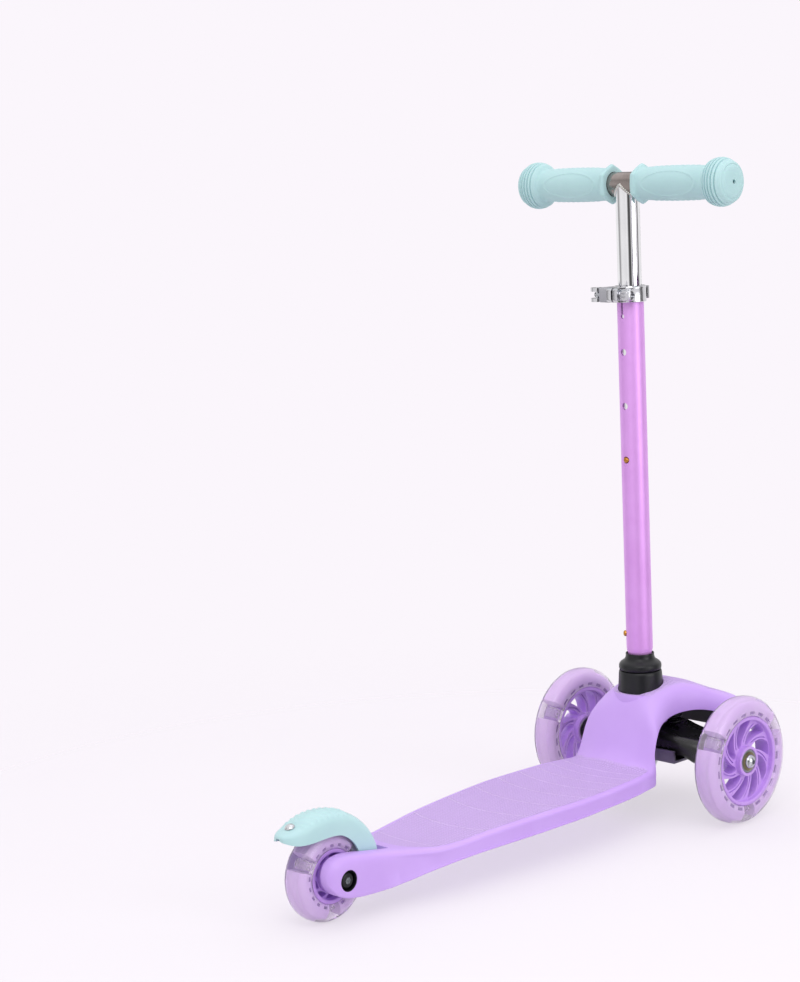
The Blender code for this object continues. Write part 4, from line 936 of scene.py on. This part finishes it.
def fender_ring(i):
    """Across the fender: crowned back with slanted ribs, running into deep side skirts."""
    r = np.array((ridge[i][0], 0.0, ridge[i][1]))
    e = np.array((skirt[i][0], 0.0, skirt[i][1]))
    d, w = r - e, width[i]
    deep = np.linalg.norm(d)
    d = d / deep
    wall = min(2.2, 0.32 * deep)
    key_o = [(0.0, 0.0), (0.42 * w, 0.03 * deep), (0.74 * w, 0.11 * deep), (0.93 * w, 0.26 * deep),
             (w, 0.5 * deep), (w, deep)]
    key_i = [(w - wall, deep), (w - wall, 0.52 * deep + 0.3), (0.93 * w - wall, 0.27 * deep + wall * 0.6),
             (0.72 * w - wall * 0.5, 0.11 * deep + wall), (0.38 * w, 0.03 * deep + wall), (0.0, wall)]
    outer = smooth_line(key_o, 5)
    inner = smooth_line(key_i, 2)
    arc_len = LEN[i]

    def rib(y, k):
        if not 18 < arc_len < 74 or abs(y) > 0.93 * w:
            return 0.0
        f = ((arc_len - 0.55 * y) / 6.2) % 1.0
        edge = min(1.0, (arc_len - 18) / 3, (74 - arc_len) / 3, (0.93 * w - abs(y)) / 1.5)
        return 1.15 * edge * max(0.0, math.sin(math.pi * f)) ** 4
    right = [r - d * (k - rib(y, k)) + np.array((0, y, 0)) for y, k in outer]
    right += [r - d * k + np.array((0, y, 0)) for y, k in inner]
    left = [p * np.array((1, -1, 1)) for p in right[1:-1]]
    return right + list(reversed(left))


LEN = [0.0]
for i in range(1, len(ridge)):
    LEN.append(LEN[-1] + math.dist(ridge[i], ridge[i - 1]))
fender = raw("fender_shell", rings([fender_ring(i) for i in range(len(ridge))]))
RIVETS = (("tail", (-36.5, 0.0, 88.4), (-0.34, 0.0, 0.94), 6.8),
          ("front", (52.9, 0.0, 55.4), (0.92, 0.0, 0.39), 6.4))
for tag, at, up, deep in RIVETS:
    u = np.array(up) / np.linalg.norm(up)
    cut(fender, turned([(1.9, -9), (1.9, 6)], at, u, 24))
finish_piece(fender, MINT, "brake", angle=44, slot="mint_plastic", replaces=["brake_fender"])
for tag, at, up, deep in RIVETS:
    u = np.array(up) / np.linalg.norm(up)
    piece("brake_rivet_%s_dome" % tag, turned([(0.3, 2.95), (1.4, 2.85), (2.5, 2.45), (3.4, 1.9), (4.1, 1.1),
                                               (4.4, 0.6), (4.2, 0.45), (1.6, 0.45), (1.6, -deep)], at, u, 40),
          BOLT, "brake", angle=40, slot="bolt_steel", replaces=["brake_rivet_" + tag])
# the spring strip follows the fender's curve
LEAF = smooth_line([(-40.0, 81.2), (-35.0, 83.4), (-27.0, 86.8), (-16.5, 89.6), (-5.0, 90.4), (7.0, 88.8),
                    (18.0, 85.2), (28.0, 79.8), (36.6, 71.8), (43.4, 62.6), (47.6, 53.6), (49.3, 45.0), (49.5, 38.0),
                    (51.0, 34.7), (54.5, 34.4), (75.0, 34.4)], 3)
leaf_in = []
for i, p in enumerate(LEAF):
    q, o = LEAF[min(i + 1, len(LEAF) - 1)], LEAF[max(i - 1, 0)]
    d = np.array((q[0] - o[0], q[1] - o[1]), float)
    d /= np.linalg.norm(d)
    leaf_in.append((p[0] + d[1] * 1.3, p[1] - d[0] * 1.3))
leaf = raw("brake_leaf_strip", rings([[(a[0], -7.4, a[1]), (a[0], 7.4, a[1]), (b[0], 7.4, b[1]), (b[0], -7.4, b[1])]
                                      for a, b in zip(LEAF, leaf_in)]))


def hand_to(ob, mat, start, end, nodes, angle=40):
    ob.data.materials.clear()
    ob.data.materials.append(mat.m)
    ob.data.polygons.foreach_set("use_smooth", [True] * len(ob.data.polygons))
    ob.data.set_sharp_from_angle(angle=math.radians(angle))
    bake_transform(ob)
    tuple(start)
    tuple(end)
    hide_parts(*nodes)


def at(x, y, z):
    return ((x - X_MID) * MM, y * MM, z * MM)


hand_to(leaf, SHEET, at(52.0, 0, 36.0), at(48.0, 0, 52.0), ["brake_leaf"])
# steering coils take the near-black painted-shade material
for tag, s in (("right", -1), ("left", 1)):
    u, w_, a_ = basis((0, 0, 1))
    stack = []
    for i in range(int(3.6 * 24) + 1):
        t = 2 * math.pi * i / 24
        out = u * math.cos(t) + w_ * math.sin(t)
        mid = np.array((436.0, 27.0 * s, 84.0)) + out * 5.6 + a_ * (5.05 * i / 24)
        stack.append([mid + (out * math.cos(p) + a_ * math.sin(p)) * 1.05 for p in np.arange(8) * math.pi / 4])
    hand_to(raw("steering_coil_" + tag, rings(stack)), COIL_SHADE, at(436, 27 * s, 101.0),
            at(436, 27 * s, 86.0), ["steering_spring_" + tag], 60)

# ----------------------------------------------------------------- rear axle
head = raw("rear_axle_bolt_head", turned(
    [(0.4, -28.5), (4.6, -28.4), (5.9, -28.0), (6.6, -27.2), (6.6, -23.2), (6.2, -22.8), (3.85, -22.8), (3.85, 28.4)],
    (0, 0, 40), Y, 48))
hexa = [(3.0 * math.cos(math.radians(60 * k)), 3.0 * math.sin(math.radians(60 * k)) + 40) for k in range(6)]
cut(head, prism(hexa, -30.0, -25.4))
finish_piece(head, [BLACK, BOLT], "deck", angle=35, slot="bolt_steel", replaces=["rear_axle_bolt"])
for p in head.data.polygons:
    c = p.center * 1000 + Vector((X_MID, 0, 0))
    if math.hypot(c.x, c.z - 40.0) < 3.3 and c.y < -25.0:
        p.material_index = 1
piece("rear_axle_nut_ring", turned([(4.15, 22.8), (6.9, 22.8), (6.9, 26.6), (6.2, 27.6), (4.9, 28.0), (4.15, 28.0)],
                                   (0, 0, 40), Y, 6, loop=True), BLACK, "deck", angle=30, bevel=0.2, slot="bolt_steel",
      replaces=["rear_axle_nut"])


# -------------------------------------------------------------- truck details
def slab(y, x0, x1, z0, z1, r):
    pts = []
    for cx, cz, a0 in ((x1 - r, z1 - r, 0), (x0 + r, z1 - r, 90), (x0 + r, z0 + r, 180), (x1 - r, z0 + r, 270)):
        for k in range(7):
            a = math.radians(a0 + 15 * k)
            pts.append((cx + r * math.cos(a), y, cz + r * math.sin(a)))
    return pts


half_bridge = [(0, 412, 466, 57.5, 84, 5), (18, 412, 466, 57.5, 83, 5), (30, 413, 467.5, 57.5, 80, 7),
               (46, 416, 467.5, 57.5, 77, 8), (60, 420.5, 463, 51.0, 74.5, 9), (74, 428, 453.5, 49.0, 72.4, 10),
               (85.4, 429, 452.2, 48.4, 71.6, 11)]
ys = [t[0] for t in half_bridge]
dense = []
for y in np.arange(0, 85.5, 2.4):
    dense.append((float(y),) + tuple(curve([(t[0], t[k]) for t in half_bridge], float(y)) for k in range(1, 6)))
dense.append(half_bridge[-1])
bridge = raw("axle_bridge_casting", rings([slab(-y, *r) for y, *r in reversed(dense[1:])] + [slab(y, *r)
                                                                                              for y, *r in dense]))
cut(bridge, turned([(4.6, -60), (4.6, 60)], KC, KD, 28))
for s in (-1, 1):
    cut(bridge, turned([(4.25, 60 * s), (4.25, 95 * s)], (WHEELBASE, 0, FRONT_R), Y, 24))
finish_piece(bridge, DARK, "front_axle", angle=40, slot="black_plastic", replaces=["axle_bridge"])

# --------------------------------------------- nodes kept as they were packed
KEEP = {"axle_channel": SHEET, "kingpin_bushing": RUBBER, "kingpin_bolt": BOLT, "brake_leaf_screw": BOLT,
        "rear_axle_spacer_right": STEEL, "rear_axle_spacer_left": STEEL}
for w in ("front_wheel_right", "front_wheel_left", "rear_wheel"):
    KEEP[w + "_spacer"] = STEEL
for name, mat in KEEP.items():
    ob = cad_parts[name]
    if not ob.material_slots:
        ob.data.materials.append(mat.m)
    for sl in ob.material_slots:
        sl.material = mat.m
    ob.data.polygons.foreach_set("use_smooth", [True] * len(ob.data.polygons))
    ob.data.set_sharp_from_angle(angle=math.radians(30))

# ------------------------------------------------------- floor, light, camera
bm = bmesh.new()
bmesh.ops.create_circle(bm, cap_ends=True, radius=4.0, segments=96)
me = bpy.data.meshes.new("studio_floor")
bm.to_mesh(me)
bm.free()
floor = bpy.data.objects.new("studio_floor", me)
COL.objects.link(floor)
floor.location = (0, 0, -0.0004)
F = Nodes("studio_floor")
F.join(F.mix(F.noise(2.0, 3.0), lin(238, 233, 240), lin(241, 236, 243)), F.p.inputs["Base Color"])
F.set(Roughness=0.75)
F.p.inputs["Specular IOR Level"].default_value = 0.2
fx, fy, fz = F.xyz()
rad = F.math("SQRT", F.math("ADD", F.math("MULTIPLY", fx, fx), F.math("MULTIPLY", fy, fy)))
clear = F.new("ShaderNodeBsdfTransparent")
blend_ = F.new("ShaderNodeMixShader")
F.join(F.span(rad, 0.42, 1.0, 0.6, 1.0), blend_.inputs[0])
F.join(F.p.outputs[0], blend_.inputs[1])
F.join(clear.outputs[0], blend_.inputs[2])
F.join(blend_.outputs[0], F.t.nodes["Material Output"].inputs["Surface"])
floor.data.materials.append(F.m)

world = bpy.data.worlds.new("studio")
SCENE.world = world
world.use_nodes = True
wt = world.node_tree
bg = wt.nodes["Background"]
gen = wt.nodes.new("ShaderNodeTexCoord")
sep = wt.nodes.new("ShaderNodeSeparateXYZ")
wt.links.new(gen.outputs["Generated"], sep.inputs[0])
ang = wt.nodes.new("ShaderNodeMath")
ang.operation = "ARCTAN2"
wt.links.new(sep.outputs[1], ang.inputs[0])
wt.links.new(sep.outputs[0], ang.inputs[1])
ramp = wt.nodes.new("ShaderNodeValToRGB")
ramp.color_ramp.interpolation = "EASE"
mr = wt.nodes.new("ShaderNodeMapRange")
mr.inputs["From Min"].default_value, mr.inputs["From Max"].default_value = -math.pi, math.pi
wt.links.new(ang.outputs[0], mr.inputs["Value"])
wt.links.new(mr.outputs["Result"], ramp.inputs["Fac"])
stops = [(0.0, 0.85), (0.07, 0.95), (0.11, 0.10), (0.16, 0.08), (0.19, 0.95), (0.30, 1.0), (0.34, 0.25), (0.38, 0.12),
         (0.42, 0.9), (0.55, 0.95), (0.62, 0.3), (0.66, 0.9), (0.8, 0.95), (0.86, 0.35), (0.9, 0.9), (1.0, 0.85)]
el = ramp.color_ramp.elements
el[0].position, el[1].position = 0.0, 1.0
for p, v in stops[1:-1]:
    el.new(p)
for e, (p, v) in zip(el, stops):
    e.position = p
    e.color = (v, v * 0.99, v, 1.0)
up = wt.nodes.new("ShaderNodeMapRange")
up.interpolation_type = "SMOOTHSTEP"
up.inputs["From Min"].default_value, up.inputs["From Max"].default_value = 0.35, 0.75
wt.links.new(sep.outputs[2], up.inputs["Value"])
sky = wt.nodes.new("ShaderNodeMix")
sky.data_type = "RGBA"
wt.links.new(up.outputs["Result"], sky.inputs[0])
wt.links.new(ramp.outputs["Color"], sky.inputs[6])
sky.inputs[7].default_value = (1.0, 0.985, 1.0, 1.0)
lp = wt.nodes.new("ShaderNodeLightPath")
wall = wt.nodes.new("ShaderNodeMix")
wall.data_type = "RGBA"
wt.links.new(lp.outputs["Is Camera Ray"], wall.inputs[0])
wt.links.new(sky.outputs[2], wall.inputs[6])
wall.inputs[7].default_value = (*lin(251, 246, 252), 1.0)
wt.links.new(wall.outputs[2], bg.inputs["Color"])
bg.inputs["Strength"].default_value = 1.0


def lamp(name, place, aim, size, watts, tint=(1, 1, 1)):
    d = bpy.data.lights.new(name, "AREA")
    d.shape, d.size, d.size_y, d.energy, d.color = "RECTANGLE", size[0], size[1], watts, tint
    o = bpy.data.objects.new(name, d)
    COL.objects.link(o)
    o.location = place
    o.rotation_euler = (Vector(aim) - Vector(place)).to_track_quat("-Z", "Y").to_euler()
    return o


lamp("key", (-1.4, -1.2, 1.9), (0, 0, 0.25), (1.3, 1.3), 13.0)
lamp("top", (0.2, 0.1, 2.4), (0, 0, 0.0), (1.8, 1.8), 6.0)
lamp("side", (0.3, -2.1, 0.7), (0.1, 0, 0.2), (1.0, 1.2), 9.0)

cam = bpy.data.cameras.new("camera")
cam_ob = bpy.data.objects.new("camera", cam)
COL.objects.link(cam_ob)
az, el_, roll, dist = math.radians(-44.696), math.radians(8.318), math.radians(-2.002), 2.0346
back = Vector((math.sin(az) * math.cos(el_), -math.cos(az) * math.cos(el_), math.sin(el_)))
aim = Vector(((183.157 - X_MID) * MM, 0.080212, 0.332684))
right = Vector((0, 0, 1)).cross(back).normalized()
upv = back.cross(right)
x2 = math.cos(roll) * right + math.sin(roll) * upv
y2 = -math.sin(roll) * right + math.cos(roll) * upv
m = cam_ob.matrix_world.copy()
p = aim + back * dist
for r in range(3):
    m[r][0], m[r][1], m[r][2], m[r][3] = x2[r], y2[r], back[r], p[r]
cam_ob.matrix_world = m
cam.sensor_fit, cam.sensor_width = "AUTO", 36.0
cam.lens = 2273.6 * 36.0 / 982.0
cam.clip_end = 50.0
SCENE.camera = cam_ob
SCENE.view_settings.view_transform = "Standard"
